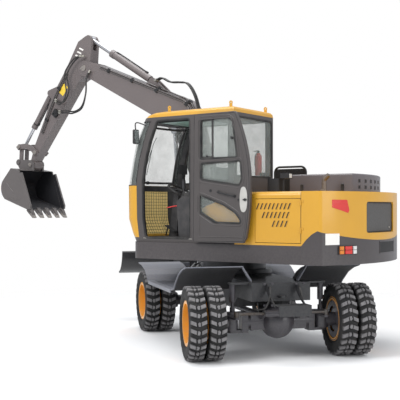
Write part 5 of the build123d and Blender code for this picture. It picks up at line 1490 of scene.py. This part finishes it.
@dataclass
class CabTrim(Assembly):
    """Nose with its wire guard, window seals, roof lining, mirrors, wiper and door sill."""

    mesh_pitch: float = 0.046
    # how far the inner face of a side wall lies inside its outer one
    skin: float = 0.047

    def nose(self) -> None:
        """Pale inner face of the nose panel, with a painted glow for the daylight through it, the wire
        guard on it, and its top rail.
        """
        cols = len(SHAPE.front(1.6)) - 1
        first, last = 5, cols - 5
        rows = np.linspace(1.53, 2.17, 9)
        # the inner face glows with painted light, for the daylight through the nose
        self.put("nose_inner_panel", SHAPE.shell(rows, 0.0420, 0.0450, first, last), NOSE_PAINTED_GLOW,
                 smooth=60)
        dark = [SHAPE.shell(np.linspace(1.502, 2.248, 9), 0.0415, 0.0460, 1, first),
                SHAPE.shell(np.linspace(1.502, 2.248, 9), 0.0415, 0.0460, last, cols - 1),
                SHAPE.shell([2.170, 2.248], 0.0415, 0.060, 1, cols - 1)]
        self.put("nose_lining", dark, TRIM, smooth=60)

        def at(u: float, z: float) -> np.ndarray:
            """The guard's point at a share of the nose's width and a height."""
            plan = SHAPE.front(z, 0.050)[first : last + 1]
            share = np.linspace(0, 1, len(plan))
            return np.array([np.interp(u, share, plan[:, 0]), np.interp(u, share, plan[:, 1]), z])

        wires = []
        for z in np.arange(1.550, 2.165, self.mesh_pitch):
            wires.append(pipe(np.array([at(u, z) for u in np.linspace(0, 1, 14)]), 0.0026, 6))
        for u in np.linspace(0.0, 1.0, 22):
            wires.append(pipe(np.array([at(u, z) for z in np.linspace(1.54, 2.165, 8)]), 0.0026, 6))
        self.put("nose_wire_guard", wires, SEAL)
        frit = [SHAPE.shell(np.linspace(2.262, 3.140, 12), 0.010, 0.012, 0, 3),
                SHAPE.shell(np.linspace(2.262, 3.140, 12), 0.010, 0.012, cols - 3, cols)]
        self.put("windscreen_dark_edges", frit, MATT_BLACK, smooth=60)
        screen = []
        for z in (2.300, 3.100):
            screen.append(pipe(np.array([[*SHAPE.front(z, 0.055)[k], z] for k in range(3, cols - 2)]),
                               0.016, 8))
        for k in (3, cols - 3):
            screen.append(pipe(np.array([[*SHAPE.front(z, 0.055)[k], z]
                                         for z in np.linspace(2.300, 3.100, 9)]), 0.016, 8))
        self.put("windscreen_inner_frame", screen, TRIM)

    def seals(self) -> None:
        """Rubber round the side windows, the doorway, the windscreen and the rear window."""
        parts = []
        for outline in RIGHT_WINDOWS:
            o = inset(softened(outline, 0.04), -0.012)
            parts += [gasket(o, 0.022, SHAPE.right - 0.003, SHAPE.right + 0.004),
                      gasket(o, 0.022, SHAPE.right + 0.041, SHAPE.right + 0.050)]
        o = inset(softened(QUARTER, 0.04), -0.012)
        parts += [gasket(o, 0.022, SHAPE.left - 0.004, SHAPE.left + 0.0005)]
        o = softened(DOORWAY, 0.04)
        parts += [gasket(inset(o, -0.016), 0.020, SHAPE.left - 0.050, SHAPE.left + 0.0022),
                  bead(inset(o, 0.002), 0.010, SHAPE.left - 0.012)]
        self.put("cab_window_seals", parts, SEAL, bevel=0.001)
        lines = []
        for y in (SHAPE.left - 0.006, SHAPE.right + 0.006):
            z = np.linspace(WAIST, HEAD, 16)
            lines.append(pipe(np.array([(SHAPE.at(h)[0] + 0.002, y, h) for h in z]), 0.009, 8))
        for z in (WAIST, HEAD):
            plan = SHAPE.front(z, 0.004)
            lines.append(pipe(np.column_stack([plan, np.full(len(plan), z)]), 0.009, 8))
        self.put("windscreen_seals", lines, SEAL)
        o = softened(np.array(corners(0.165, 2.345, 1.125, HEAD)), 0.05)
        rubber = gasket(inset(o, -0.008), 0.026, 0.734, 0.7430)
        self.put("rear_window_seal", rubber, SEAL, axes=self.site.rear)

    def inside(self) -> None:
        """Roof lining with a tinted hatch, dark pillar covers, the floor mat and the door sill."""
        flat = self.site.flat
        front = SHAPE.front(HEAD, 0.050)
        lining = slab(np.concatenate([front, [(-0.66, front[-1][1]), (-0.66, front[0][1])]]), -3.1500,
                      -3.1420)
        self.put("roof_lining", lining, TRIM, axes=flat, bevel=0.003)
        hatch = slab(softened(corners(-0.20, 0.28, 0.62, 1.06), 0.05), -3.1420, -3.1370)
        self.put("roof_hatch_pane", hatch, HATCH_GLASS, axes=flat)
        ring_line = softened(corners(-0.23, 0.25, 0.65, 1.09), 0.05)
        self.put("roof_hatch_rim", gasket(ring_line, 0.035, -3.1425, -3.1310), MATT_BLACK, axes=flat,
                 bevel=0.002)
        covers = []
        for y, side in ((SHAPE.left - self.skin, -1), (SHAPE.right + self.skin, 1)):
            z = np.linspace(FLOOR, HEAD, 14)
            front = np.array([(SHAPE.at(h)[0] - 0.010, h) for h in z])
            back = np.array([(SHAPE.at(h)[0] - 0.088, h) for h in z])[::-1]
            covers.append(slab(np.concatenate([front, back]), min(y, y + side * 0.012),
                               max(y, y + side * 0.012)))
        left, right = SHAPE.left - self.skin, SHAPE.right + self.skin
        for low, high in (
            ((-0.150, SHAPE.left - 0.062, FLOOR), (-0.012, left, HEAD)),
            ((-0.118, right, FLOOR), (-0.042, SHAPE.right + 0.060, HEAD)),
            ((-0.640, right, FLOOR), (0.110, SHAPE.right + 0.058, 2.275)),
            ((-0.694, 0.19, FLOOR), (-0.682, 1.10, 2.325)),
        ):
            covers.append(block(low, high))
        self.put("pillar_covers", covers, TRIM, bevel=0.003)
        mat = slab(softened(corners(-0.68, 0.185, 0.80, 1.105), 0.04), -1.4985, -1.4880)
        self.put("floor_mat", mat, SEAL, axes=flat, bevel=0.002)
        sill = [block((-0.05, 1.1600, 1.4880), (0.80, 1.1618, 1.4965)),
                block((-0.02, 1.118, 1.4985), (0.77, 1.1580, 1.5035))]
        self.put("door_sill", sill, ZINC, bevel=0.001)

    def outside(self) -> None:
        """Mirrors on their arms, the wiper and the yellow panel on the cab's side."""
        rear = self.site.rear
        for name, l0, l1, f, z0, z1 in (("left", 1.165, 1.270, 0.880, 2.84, 3.04),
                                        ("right", 0.030, 0.125, 0.900, 2.86, 3.02)):
            mid = (l0 + l1) / 2
            side = 1 if name == "left" else -1
            edge = (SHAPE.left - 0.02) if side > 0 else (SHAPE.right + 0.02)
            arm = rail([(0.76, edge, 3.10), (f + 0.01, mid, 3.14), (f + 0.015, mid, z1 - 0.03)], 0.009)
            self.put(f"{name}_mirror_arm", arm, TRIM)
            outline = softened(corners(l0, z0, l1, z1), 0.02)
            shell = slab(outline, -f - 0.028, -f)
            self.put(f"{name}_mirror_shell", shell, TRIM, axes=rear, bevel=0.004)
            self.put(f"{name}_mirror_glass", slab(inset(outline, 0.007), -f, -f + 0.002), MIRROR,
                     axes=rear)
        edge, bulge = SHAPE.at(2.45)
        sweep = [(edge + bulge + 0.012, 0.62, 2.30), (edge + bulge + 0.020, 0.60, 2.50),
                 (SHAPE.at(2.8)[0] + SHAPE.at(2.8)[1] + 0.016, 0.56, 2.80)]
        blade = [(SHAPE.at(z)[0] + SHAPE.at(z)[1] + 0.007, 0.56 + (2.85 - z) * 0.06, z)
                 for z in np.linspace(2.42, 2.98, 9)]
        wiper = [rail(sweep, 0.006), rail(blade, 0.005),
                 stud((edge + bulge - 0.02, 0.60, 2.275), 0.022, 0.05, False)]
        self.put("wiper", wiper, MATT_BLACK)

        lower = np.array([(-0.745, 1.505), (-0.170, 1.505), (-0.170, 1.880), (-0.300, 1.950),
                          (-0.560, 2.030), (-0.745, 2.060)])
        panel = slab(softened(lower, 0.03), SHAPE.left + 0.0002, SHAPE.left + 0.0030)
        self.put("cab_side_yellow_panel", panel, YELLOW)

    def build(self) -> None:
        """Make the cab's trim."""
        self.nose()
        self.seals()
        self.inside()
        self.outside()


# ------------------------------------------------------------------ inside the cab
def puffed(obj: bpy.types.Object, voxel: float, cap: float) -> None:
    """Blow a closed pad up with a short cloth simulation, then keep the result as its mesh.

    Args:
        obj: the pad, in place and at the origin.
        voxel: the remesh's cell in metres.
        cap: the furthest that a point may move, in metres.
    """
    remesh = obj.modifiers.new("remesh", "REMESH")
    remesh.mode, remesh.voxel_size = "VOXEL", voxel
    graph = bpy.context.evaluated_depsgraph_get()
    dense = bpy.data.meshes.new_from_object(obj.evaluated_get(graph))
    obj.modifiers.clear()
    dense.materials.clear()
    dense.materials.append(obj.data.materials[0])
    obj.data = dense
    start = np.empty(len(dense.vertices) * 3)
    dense.vertices.foreach_get("co", start)
    cloth = obj.modifiers.new("cloth", "CLOTH")
    cloth.settings.use_pressure = True
    cloth.settings.uniform_pressure_force = 4.0
    cloth.settings.effector_weights.gravity = 0.0
    scene = bpy.context.scene
    for number in range(1, 21):
        scene.frame_set(number)
    graph = bpy.context.evaluated_depsgraph_get()
    blown = obj.evaluated_get(graph).to_mesh()
    end = np.empty(len(blown.vertices) * 3)
    blown.vertices.foreach_get("co", end)
    obj.evaluated_get(graph).to_mesh_clear()
    obj.modifiers.clear()
    scene.frame_set(1)
    move = (end - start).reshape(-1, 3)
    reach = np.linalg.norm(move, axis=1, keepdims=True)
    move *= np.minimum(1.0, cap / np.maximum(reach, 1e-9))
    dense.vertices.foreach_set("co", start + move.ravel())
    dense.update()
    dense.polygons.foreach_set("use_smooth", [True] * len(dense.polygons))


@dataclass
class CabInterior(Assembly):
    """The padded seat, armrests, small controls and a fire extinguisher, in the upper's axes."""

    seat_forward: float = 0.060
    seat_left: float = 0.665
    voxel: float = 0.006
    swell: float = 0.012

    def pad(self, name: str, mesh: Mesh) -> bpy.types.Object:
        """One padded cushion of woven cloth."""
        obj = add_piece(name, mesh, "upper_structure", SEAT_CLOTH, smooth=180)
        puffed(obj, self.voxel, self.swell)
        return obj

    def seat(self) -> None:
        """The padded seat on its pan and rails, and the consoles' armrests."""
        up, flat = self.site.upper, self.site.flat
        f, mid = self.seat_forward, self.seat_left
        base = softened(corners(f - 0.195, mid - 0.220, f + 0.255, mid + 0.220), 0.07)
        cushion = self.pad("seat_cushion", moved(slab(base, -1.9130, -1.8420), flat))
        side = softened([(f - 0.197, 1.905), (f - 0.125, 1.930), (f - 0.228, 2.500), (f - 0.288, 2.505)],
                        0.022)
        self.pad("seat_backrest", moved(slab(side, mid - 0.205, mid + 0.205), up))
        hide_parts("operator_seat")
        pan = slab(softened(corners(f - 0.205, mid - 0.225, f + 0.262, mid + 0.225), 0.06), -1.8400,
                   -1.8180)
        self.put("seat_pan", pan, TRIM, axes=flat, bevel=0.003)
        rails = [block((f - 0.18, mid + s * 0.16 - 0.02, 1.800),
                       (f + 0.20, mid + s * 0.16 + 0.02, 1.8185)) for s in (-1, 1)]
        self.put("seat_rails", rails, STEEL, bevel=0.002)
        rests = []
        for s in (-1, 1):
            y = mid + s * 0.325
            rests.append(block((f - 0.27, y - 0.055, 2.088), (f + 0.10, y + 0.055, 2.128)))
        self.put("console_armrests", rests, SEAL, bevel=0.012)

    def controls(self) -> None:
        """Lever boots, the lock lever, the wheel's rim, the monitor and the pedals."""
        f, mid = self.seat_forward, self.seat_left
        boots = []
        for s in (-1, 1):
            y = mid + s * 0.325
            for k in range(4):
                boots.append(stud((f + 0.15, y, 2.070 + 0.018 * k), 0.044 - 0.007 * k, 0.012, False))
            boots.append(stud((f + 0.15, y, 2.225), 0.024, 0.095, False))
        self.put("lever_boots", boots, SEAL, bevel=0.003)
        lever = [rail([(f + 0.10, 0.900, 1.985), (f + 0.26, 0.915, 1.962), (f + 0.50, 0.920, 1.925)],
                      0.009),
                 stud((f + 0.11, 0.930, 1.975), 0.042, 0.016),
                 block((f + 0.10, 0.905, 1.985), (f + 0.20, 0.935, 2.030))]
        self.put("lock_lever", lever, LEVER_RED, bevel=0.004)
        wheel = np.array([-0.5, 0.0, 0.866])
        across, lift = np.array([0, 1.0, 0]), np.cross(wheel, (0, 1.0, 0))
        angle = np.linspace(0, 2 * np.pi, 41)
        centre = np.array([f + 0.465, mid, 2.177])
        rim = np.array([centre + 0.1725 * (across * math.cos(a) + lift * math.sin(a)) for a in angle])
        self.put("steering_wheel_rim", pipe(rim, 0.0165, 10), SEAL)
        screen = [block((0.700, 0.230, 2.430), (0.735, 0.400, 2.570)),
                  rail([(0.72, 0.315, 2.28), (0.72, 0.315, 2.45)], 0.012)]
        self.put("monitor", screen, MATT_BLACK, bevel=0.006)
        pedals = []
        for y in (mid - 0.10, mid + 0.10):
            pedals.append(moved(block((-0.06, -0.045, 0.0), (0.12, 0.045, 0.012)),
                                Axes(np.array([f + 0.52, y, 1.60]), unit(np.array([1.0, 0, 0.6])),
                                     np.array([0, 1.0, 0]), unit(np.array([-0.6, 0, 1.0])))))
            pedals.append(rail([(f + 0.60, y, 1.64), (f + 0.64, y, 1.52)], 0.010))
        self.put("travel_pedals", pedals, MATT_BLACK, bevel=0.002)

    def extinguisher(self) -> None:
        """A fire extinguisher behind the seat: its bottle, valve, bracket and hose."""
        bottle = [stud((-0.590, 0.285, 2.380), 0.048, 0.290, False),
                  stud((-0.590, 0.285, 2.670), 0.030, 0.028, False)]
        self.put("extinguisher_bottle", bottle, LEVER_RED, bevel=0.008)
        valve = [stud((-0.590, 0.285, 2.698), 0.014, 0.040, False),
                 block((-0.605, 0.275, 2.725), (-0.520, 0.295, 2.737)),
                 block((-0.690, 0.240, 2.36), (-0.640, 0.330, 2.42)),
                 rail([(-0.575, 0.285, 2.715), (-0.545, 0.300, 2.66), (-0.538, 0.300, 2.52)], 0.006)]
        self.put("extinguisher_valve", valve, MATT_BLACK, bevel=0.001)

    def daylight(self) -> None:
        """A small lamp under the roof hatch, which stands for the sky seen through it."""
        up = self.site.upper
        sky = bpy.data.lights.new("hatch_daylight", "AREA")
        sky.energy, sky.size = 5.0, 0.6
        lamp = new_object("hatch_daylight", sky)
        lamp.location = up.place(np.array([(0.10, 0.66, 3.115)]))[0]
        lamp.rotation_euler = Vector(up.x * 0.75 - up.z * 0.66).to_track_quat("-Z", "Y").to_euler()

    def build(self) -> None:
        """Make the seat, the controls, the extinguisher and the hatch's light."""
        self.seat()
        self.controls()
        self.extinguisher()
        self.daylight()


# ------------------------------------------------------------------ digging gear
@dataclass
class GearTrim(Assembly):
    """Pins, bolts, steel oil pipes, clamps and blank plates on the boom, arm and linkage."""

    # edges further than this from the middle belong to the side plates
    plate_side: float = 0.085

    def pin(self, at: np.ndarray, width: float, radius: float, offset: float = 0.0) -> Mesh:
        """A pin's two heads with their keeper bolts, about the gear's cross axis."""
        up = self.site.upper
        parts = []
        for side in (-1, 1):
            head = stud((0, 0, 0), radius, 0.016)
            bolt = hexagon_bolt(0.018, 0.010)
            bolt = (bolt[0] + (radius * 0.55, 0.015, 0), bolt[1])
            keep = slab(softened(corners(radius * 0.2, -0.016, radius * 1.5, 0.016), 0.008), 0.0, 0.008)
            x = up.x * side
            axes = Axes(at + up.y * (offset + side * width / 2), x, up.y * side, up.z)
            for mesh in (head, bolt, keep):
                parts.append(moved(mesh, axes))
        return joined(parts)

    def build(self) -> None:
        """Make the gear's trim."""
        site, frame = self.site, self.site.frame
        up, boom, arm = site.upper, site.boom, site.arm
        names = ("boom_lift", "arm_swing", "bucket_curl", "rocker_pivot", "link_pivot")
        boom_pin, arm_pin, tip, rocker, link = (joint_point(frame, name) for name in names)
        for name, at, node, body, radius in (
            ("boom_foot_pin", boom_pin, "boom", "upper_structure", 0.062),
            ("arm_pin", arm_pin, "boom", "boom", 0.050),
            ("rocker_pin", rocker, "bucket_rocker", "bucket_rocker", 0.036),
            ("bucket_pin", tip, "arm", "bucket", 0.036),
            ("link_pin", link, "bucket_rocker", "bucket_rocker", 0.034),
        ):
            plane = Axes(at, up.x, up.y, up.z)
            local = site.points(node, plane)
            near = local[np.hypot(local[:, 0], local[:, 2]) < 0.16]
            low, high = near[:, 1].min(), near[:, 1].max()
            if name == "bucket_pin":  # the bucket's ears stand outside the arm and the link
                link_low, link_high = site.span("bucket_link", plane)
                low, high = min(low, link_low[1]) - 0.034, max(high, link_high[1]) + 0.034
            if name == "boom_foot_pin":  # the frame's ears stand outside the boom
                low, high = low - 0.031, high + 0.031
            add_piece(name, self.pin(at, high - low, radius, (low + high) / 2), body, STEEL)
        self.pipes(boom, arm)
        self.plates(arm)
        self.glands()

    def top_of(self, node: str, axes: Axes, xs: Point) -> list[float]:
        """The height of a node's upper edge at places along x, from its mesh's outer edges."""
        local = self.site.points(node, axes)
        heights = []
        for x in xs:
            best = -9.0
            for edge in self.site.frame["nodes"][node].data.edges:
                a, b = local[edge.vertices[0]], local[edge.vertices[1]]
                outer = min(abs(a[1]), abs(b[1])) > self.plate_side
                if outer and (a[0] - x) * (b[0] - x) <= 0 and abs(a[0] - b[0]) > 1e-6:
                    best = max(best, a[2] + (b[2] - a[2]) * (x - a[0]) / (b[0] - a[0]))
            heights.append(float(best))
        return heights

    def pipes(self, boom: Axes, arm: Axes) -> None:
        """Steel pipes along the boom's top and left side and along the arm, with their clamps."""
        half = 0.135
        xs = np.array([0.75, 1.05, 1.35, 1.65, 1.95, 2.25, 2.50, 2.75, 3.00, 3.25, 3.45])
        tops = np.array(self.top_of("boom", boom, xs))
        lines, clamps = [], []
        for y in (0.112, 0.086):
            lines.append(rail([(x, y, z + 0.022) for x, z in zip(xs[:7], tops[:7])], 0.011))
        for drop in (0.014, 0.042):
            lines.append(rail([(x, half + 0.018, z - drop) for x, z in zip(xs[1:], tops[1:])], 0.010))
        for i in (1, 3, 5, 7, 9):
            clamps.append(block((xs[i] - 0.022, half - 0.001, tops[i] - 0.062),
                                (xs[i] + 0.022, half + 0.034, tops[i] + 0.004)))
        for i in (1, 3, 5):
            clamps.append(block((xs[i] - 0.022, 0.066, tops[i] - 0.004),
                                (xs[i] + 0.022, 0.130, tops[i] + 0.040)))
        self.put("boom_oil_pipes", lines, PIPE_GREY, "boom", axes=boom)
        self.put("boom_pipe_clamps", clamps, MATT_BLACK, "boom", axes=boom, bevel=0.003)
        xs = np.array([0.30, 0.60, 0.90, 1.20, 1.45])
        tops = np.array(self.top_of("arm", arm, xs))
        lines, clamps = [], []
        for drop in (0.060, 0.092):
            lines.append(rail([(x, 0.118, z - drop) for x, z in zip(xs, tops)], 0.010))
        for i in (1, 3):
            clamps.append(block((xs[i] - 0.02, 0.099, tops[i] - 0.110),
                                (xs[i] + 0.02, 0.134, tops[i] - 0.042)))
        self.put("arm_oil_pipes", lines, PIPE_GREY, "arm", axes=arm)
        self.put("arm_pipe_clamps", clamps, MATT_BLACK, "arm", axes=arm, bevel=0.003)

    def plates(self, arm: Axes) -> None:
        """A blank yellow plate, three slanted blank bars and a valve block on the arm's left side."""
        plate = slab(softened(corners(0.47, 0.130, 0.66, 0.250), 0.02), 0.0995, 0.1015)
        self.put("arm_blank_plate", plate, PLATE_YELLOW, "arm", axes=arm)
        bars = []
        for k in range(3):
            x = -0.235 + 0.070 * k
            bars.append(slab(np.array([(x, 0.230), (x + 0.028, 0.230), (x + 0.050, 0.330),
                                       (x + 0.022, 0.330)]), 0.0995, 0.1010))
        self.put("arm_blank_bars", bars, PLATE, "arm", axes=arm)
        valve = [block((0.92, 0.0985, 0.020), (1.04, 0.150, 0.120)),
                 stud((0.95, 0.149, 0.05), 0.014, 0.020), stud((1.00, 0.149, 0.09), 0.014, 0.020)]
        self.put("arm_valve_block", valve, MATT_BLACK, "arm", axes=arm, bevel=0.004)

    def glands(self) -> None:
        """Head nuts and oil lines on two cylinders, along each barrel's own axis."""
        frame = self.site.frame
        for name, radius in (("arm_cylinder", 0.055), ("bucket_cylinder", 0.050)):
            along = unit(np.array(find_joint(frame, f"{name}_rod", "child")["axis"]))
            at = np.array(find_joint(frame, f"{name}_barrel", "child")["pos_m"])
            side = self.site.upper.y
            across = np.cross(side, along)
            if name == "arm_cylinder":
                side, across = -side, -across
            axes = Axes(at, side, along, across)
            end = self.site.span(f"{name}_barrel", axes)[1][1]
            parts = [stud((0, end - back, 0), radius + 0.004, 0.018) for back in (0.050, 0.10)]
            r = radius - 0.004
            line = [(0, end - 0.12, r + 0.004), (0, end - 0.16, r + 0.020), (0, 0.30, r + 0.020),
                    (0, 0.22, r + 0.016)]
            parts.append(rail(line, 0.009))
            parts.append(block((-0.018, end - 0.145, r - 0.006), (0.018, end - 0.095, r + 0.024)))
            parts.append(block((-0.018, 0.20, r - 0.006), (0.018, 0.25, r + 0.030)))
            self.put(f"{name}_fittings", parts, MATT_BLACK, f"{name}_barrel", axes=axes, bevel=0.001)


@dataclass
class Hoses(Assembly):
    """Rubber hoses, each with a fitting on the body at either end; a hose that crosses a joint rides on
    no body.
    """

    radius: float = 0.013
    knee_gap: float = 0.032
    under_gap: float = 0.034
    back_gap: float = 0.030

    def hose(self, name: str, points: Sequence[Point], a: str, b: str) -> None:
        """One hose.

        Args:
            name: its name.
            points: row points from the fitting on body a to the one on body b.
            a: the body at its start.
            b: the body at its end.
        """
        r = self.radius
        path = smooth_line(points, 10)
        mesh = pipe(path, r, 10)
        data = bpy.data.meshes.new(name)
        data.from_pydata(mesh[0], [], mesh[1])
        obj = new_object(name, data)
        sharp_edges(obj, 60)
        data.materials.append(HOSE.material())
        if a == b:
            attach(obj, a)
        else:
            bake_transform(obj)
        for end, body, tip in (("start", a, 0), ("end", b, -1)):
            step = path[1] - path[0] if tip == 0 else path[-2] - path[-1]
            y = unit(step)
            x = unit(np.cross(y, (0.3, 0.2, 1.0)))
            fit = Axes(path[tip] - y * 0.012, x, y, np.cross(x, y))
            self.put(f"{name}_{end}_fitting", stud((0, 0, 0), r * 1.45, 0.050), ZINC, body, axes=fit)

    def build(self) -> None:
        """Loops at the knee, under it and from the boom's back down behind the cab."""
        up = self.site.upper

        def row(*points: Point) -> list[np.ndarray]:
            """Row points from (forward, left, up) ones."""
            return list(up.place(np.array(points)))

        for k in range(2):
            d = self.knee_gap * k
            self.hose(f"knee_hose_{k + 1}", row(
                (3.02 + d, 0.010 + d, 4.500), (3.15 + d, 0.030 + d, 4.470), (3.30 + d, 0.045 + d, 4.330),
                (3.37 + d, 0.050 + d, 4.180),
                (3.33 + d, 0.045 + d, 3.960 - d), (3.40 + d, 0.030 + d, 3.810 - d),
                (3.53 + d, 0.0 + d, 3.750 - d),
                (3.70, -0.010, 3.810 - d)), "boom", "arm")
        for k in range(2):
            d = self.under_gap * k
            self.hose(f"under_hose_{k + 1}", row(
                (2.90 - d, -0.005 + d, 4.230), (2.955 - d, 0.015 + d, 4.120),
                (2.965 - d, 0.020 + d, 3.860), (3.06 - d, 0.015 + d, 3.650 - d),
                (3.24, 0.005 + d, 3.575 - d), (3.44, -0.010, 3.600 - d), (3.62, -0.020, 3.610 - d)),
                "boom", "arm")
        for k in range(3):
            d = self.back_gap * k
            self.hose(f"boom_back_hose_{k + 1}", row(
                (1.52, -0.095 + d, 3.960), (1.38, -0.070 + d, 3.985), (1.18, -0.020 + d, 3.900),
                (0.98, 0.005 + d, 3.875), (0.82, 0.020 + d, 3.840),
                (0.70, 0.028 + d, 3.700), (0.62, 0.030 + d, 3.500), (0.56, 0.020 + d, 3.150),
                (0.53, 0.010 + d, 2.850)), "boom", "boom")
            self.hose(f"boom_foot_hose_{k + 1}", row(
                (0.46, 0.010 + d, 2.100), (0.38, 0.015 + d, 2.220), (0.22, 0.020 + d, 2.200),
                (0.08, 0.015 + d, 2.040), (0.05, 0.010 + d, 1.760)),
                "boom", "upper_structure")


@dataclass
class BucketTrim(Assembly):
    """Painted shade inside, tooth adaptors, tooth tips and pressed ribs of the bucket."""

    half_width: float = 0.420
    side_t: float = 0.022
    teeth: int = 5
    tooth_w: float = 0.070
    lip: Point = (-0.262, -0.812)
    hollow: Point = (0.090, -0.420)
    ears_foot: float = -0.075
    lining: float = 0.0015

    def inside(self) -> None:
        """A dark sheet of painted shade just off every face that looks into the hollow."""
        axes, node = self.site.bucket, self.site.frame["nodes"]["bucket"]
        turn = np.stack([axes.x, axes.y, axes.z])
        centre = axes.origin + axes.x * self.hollow[0] + axes.z * self.hollow[1]
        vertices: list[np.ndarray] = []
        faces: list[tuple[int, ...]] = []
        for face in node.data.polygons:
            middle, normal = np.array(face.center), np.array(face.normal)
            local = turn @ (middle - axes.origin)
            looks_away = normal @ (centre - middle) < 0.02
            on_cheek = abs(local[1]) > self.half_width - self.side_t + 0.002
            if looks_away or on_cheek or local[2] > self.ears_foot:
                continue
            start = len(vertices)
            vertices += [np.array(node.data.vertices[i].co) + normal * self.lining
                         for i in face.vertices]
            faces.append(tuple(range(start, len(vertices))))
        add_piece("bucket_painted_shade", (np.array(vertices), faces), "bucket", BUCKET_HOLLOW_SHADE)

    def build(self) -> None:
        """Make the bucket's trim."""
        self.inside()
        axes = self.site.bucket
        along = unit(np.array([-0.630, 0.0, -0.777]))
        lip = Axes(np.array([self.lip[0], 0.0, self.lip[1]]), along, np.array([0, 1.0, 0]),
                   np.cross(along, (0, 1.0, 0)))
        adaptors, wear = [], []
        for k in range(self.teeth):
            y = (k - (self.teeth - 1) / 2) * (2 * self.half_width - self.tooth_w) / (self.teeth - 1)
            nose = np.array([(-0.030, 0.040), (0.030, 0.036), (0.095, 0.020), (0.095, -0.014),
                             (0.030, -0.024), (-0.030, -0.030)])
            half = self.tooth_w / 2 + 0.006
            y = max(-self.half_width + half, min(self.half_width - half, y))
            adaptors.append(moved(slab(nose, y - half, y + half), lip))
            tip = np.array([(0.080, 0.024), (0.168, 0.008), (0.168, -0.002), (0.080, -0.018)])
            wear.append(moved(slab(tip, y - half - 0.004, y + half + 0.004), lip))
        self.put("tooth_adaptors", adaptors, BUCKET_GREY, "bucket", axes=axes, bevel=0.004)
        self.put("tooth_tips", wear, STEEL, "bucket", axes=axes, bevel=0.003)
        ribs = []
        for a, b in (((0.300, -0.330), (0.120, -0.500)), ((0.250, -0.600), (0.000, -0.640))):
            for s in (-1, 1):
                y = s * self.half_width
                ribs.append(rail([(a[0], y, a[1]), (b[0], y, b[1])], 0.007))
        self.put("bucket_side_ribs", ribs, BUCKET_GREY, "bucket", axes=axes)


# ------------------------------------------------------------------ undercarriage
ROW = Axes(np.zeros(3), np.array([1.0, 0, 0]), np.array([0, 1.0, 0]), np.array([0, 0, 1.0]))


@dataclass
class ChassisTrim(Assembly):
    """Fender undersides darkened by dirt and painted shade, step treads, brake drums, brake hoses and
    bolts of the undercarriage.
    """

    mid_y: float = 0.521878
    frame_end: float = 2.858
    drum_radius: float = 0.240
    drum_lip: float = 0.281
    step_pitch: float = 0.09
    arch: tuple[Point, ...] = ((1.765, 0.811), (1.913, 0.836), (1.993, 0.916), (2.173, 1.046),
                               (2.343, 1.116), (2.527, 1.160))

    def build(self) -> None:
        """Make the undercarriage's trim."""
        line = np.array(self.arch)
        under = np.concatenate([line - (0, 0.0005), (line - (0, 0.0045))[::-1]])
        reach = (0.432, 1.189)
        for hand, side in (("left", 1), ("right", -1)):
            low, high = sorted((self.mid_y + side * reach[0], self.mid_y + side * reach[1]))
            # a dark sheet under each arch: dirt and painted shade on its underside
            self.put(f"{hand}_fender_dirt_and_painted_shade", slab(under, low, high), FENDER_UNDERSIDE_DIRT_AND_SHADE, "chassis", axes=ROW)
            deck = []
            for x in np.arange(0.36, 1.72, self.step_pitch):
                low, high = sorted((self.mid_y + side * 0.62, self.mid_y + side * 1.12))
                deck.append(block((x, low, 0.8248), (x + 0.028, high, 0.8285)))
            self.put(f"{hand}_step_tread", deck, FENDER_GREY, "chassis", axes=ROW, bevel=0.001)
        self.drums()
        self.brackets()

    def drums(self) -> None:
        """Dark brake drums' rims inside the inner wheels."""
        frame = self.site.frame
        angles = np.linspace(0, 2 * np.pi, 49)[:-1]
        for wheel in ("front_left", "front_right", "rear_left", "rear_right"):
            spin = find_joint(frame, f"{wheel}_wheel_spin")
            at, y = np.array(spin["pos_m"]), unit(np.array(spin["axis"]))
            if "right" in wheel:
                y = -y
            x = unit(np.cross(y, (0, 0, 1.0)))
            axes = Axes(at, x, y, np.cross(x, y))
            low, _ = self.site.span(f"{wheel}_rims", axes)
            circle = self.drum_radius * np.column_stack([np.cos(angles), np.sin(angles)])
            parts = [gasket(circle, 0.076, low[1] + 0.004, low[1] + 0.016)]
            lip = self.drum_lip * np.column_stack([np.cos(angles), np.sin(angles)])
            parts.append(gasket(lip, 0.012, low[1] - 0.002, low[1] + 0.003))
            self.put(f"{wheel}_brake_drum", parts, AXLE_GREY, f"{wheel}_wheel", axes=axes)

    def brackets(self) -> None:
        """Brake hoses over the steered axle and bolts on the frame's end."""
        y, x = self.mid_y, self.frame_end
        lines = []
        for side in (-1, 1):
            lines.append(rail([(x - 0.02, y + side * 0.20, 0.93), (x + 0.045, y + side * 0.20, 0.90),
                               (x + 0.060, y + side * 0.22, 0.78),
                               (x + 0.020, y + side * 0.27, 0.665), (x - 0.10, y + side * 0.34, 0.640)],
                               0.011))
        self.put("axle_brake_hoses", lines, HOSE, "chassis", axes=ROW)
        bolts = []
        for dy in (-0.26, -0.16, 0.16, 0.26):
            for z in (0.70, 0.97):
                bolt = hexagon_bolt(0.026, 0.014)
                at = Axes(np.array([x - 0.001, y + dy, z]), np.array([0, 1.0, 0]), np.array([1.0, 0, 0]),
                          np.array([0, 0, -1.0]))
                bolts.append(moved(bolt, at))
        add_piece("frame_end_bolts", joined(bolts), "chassis", AXLE_GREY)


ASSEMBLIES: tuple[type[Assembly], ...] = (
    TwinTyres, BodyTrim, HoodTrim, DeckGear, DoorTrim, CabTrim, CabInterior, GearTrim, Hoses, BucketTrim,
    ChassisTrim,
)


# ------------------------------------------------------------------ main
def main() -> None:
    logging.basicConfig(level=logging.INFO, format="%(name)s: %(message)s")
    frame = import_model()
    low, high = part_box("slew_ring")
    slew = np.array([(low[0] + high[0]) / 2, (low[1] + high[1]) / 2, 0.0])
    Studio(slew).build()
    for finish, names in CAD_FINISHES.items():
        for name in names:
            obj = frame["nodes"][name]
            obj.data.materials.clear()
            obj.data.materials.append(finish.material())
    site = Site(frame, slew)
    for part in ASSEMBLIES:
        part(site).build()


if __name__ == "__main__":
    main()
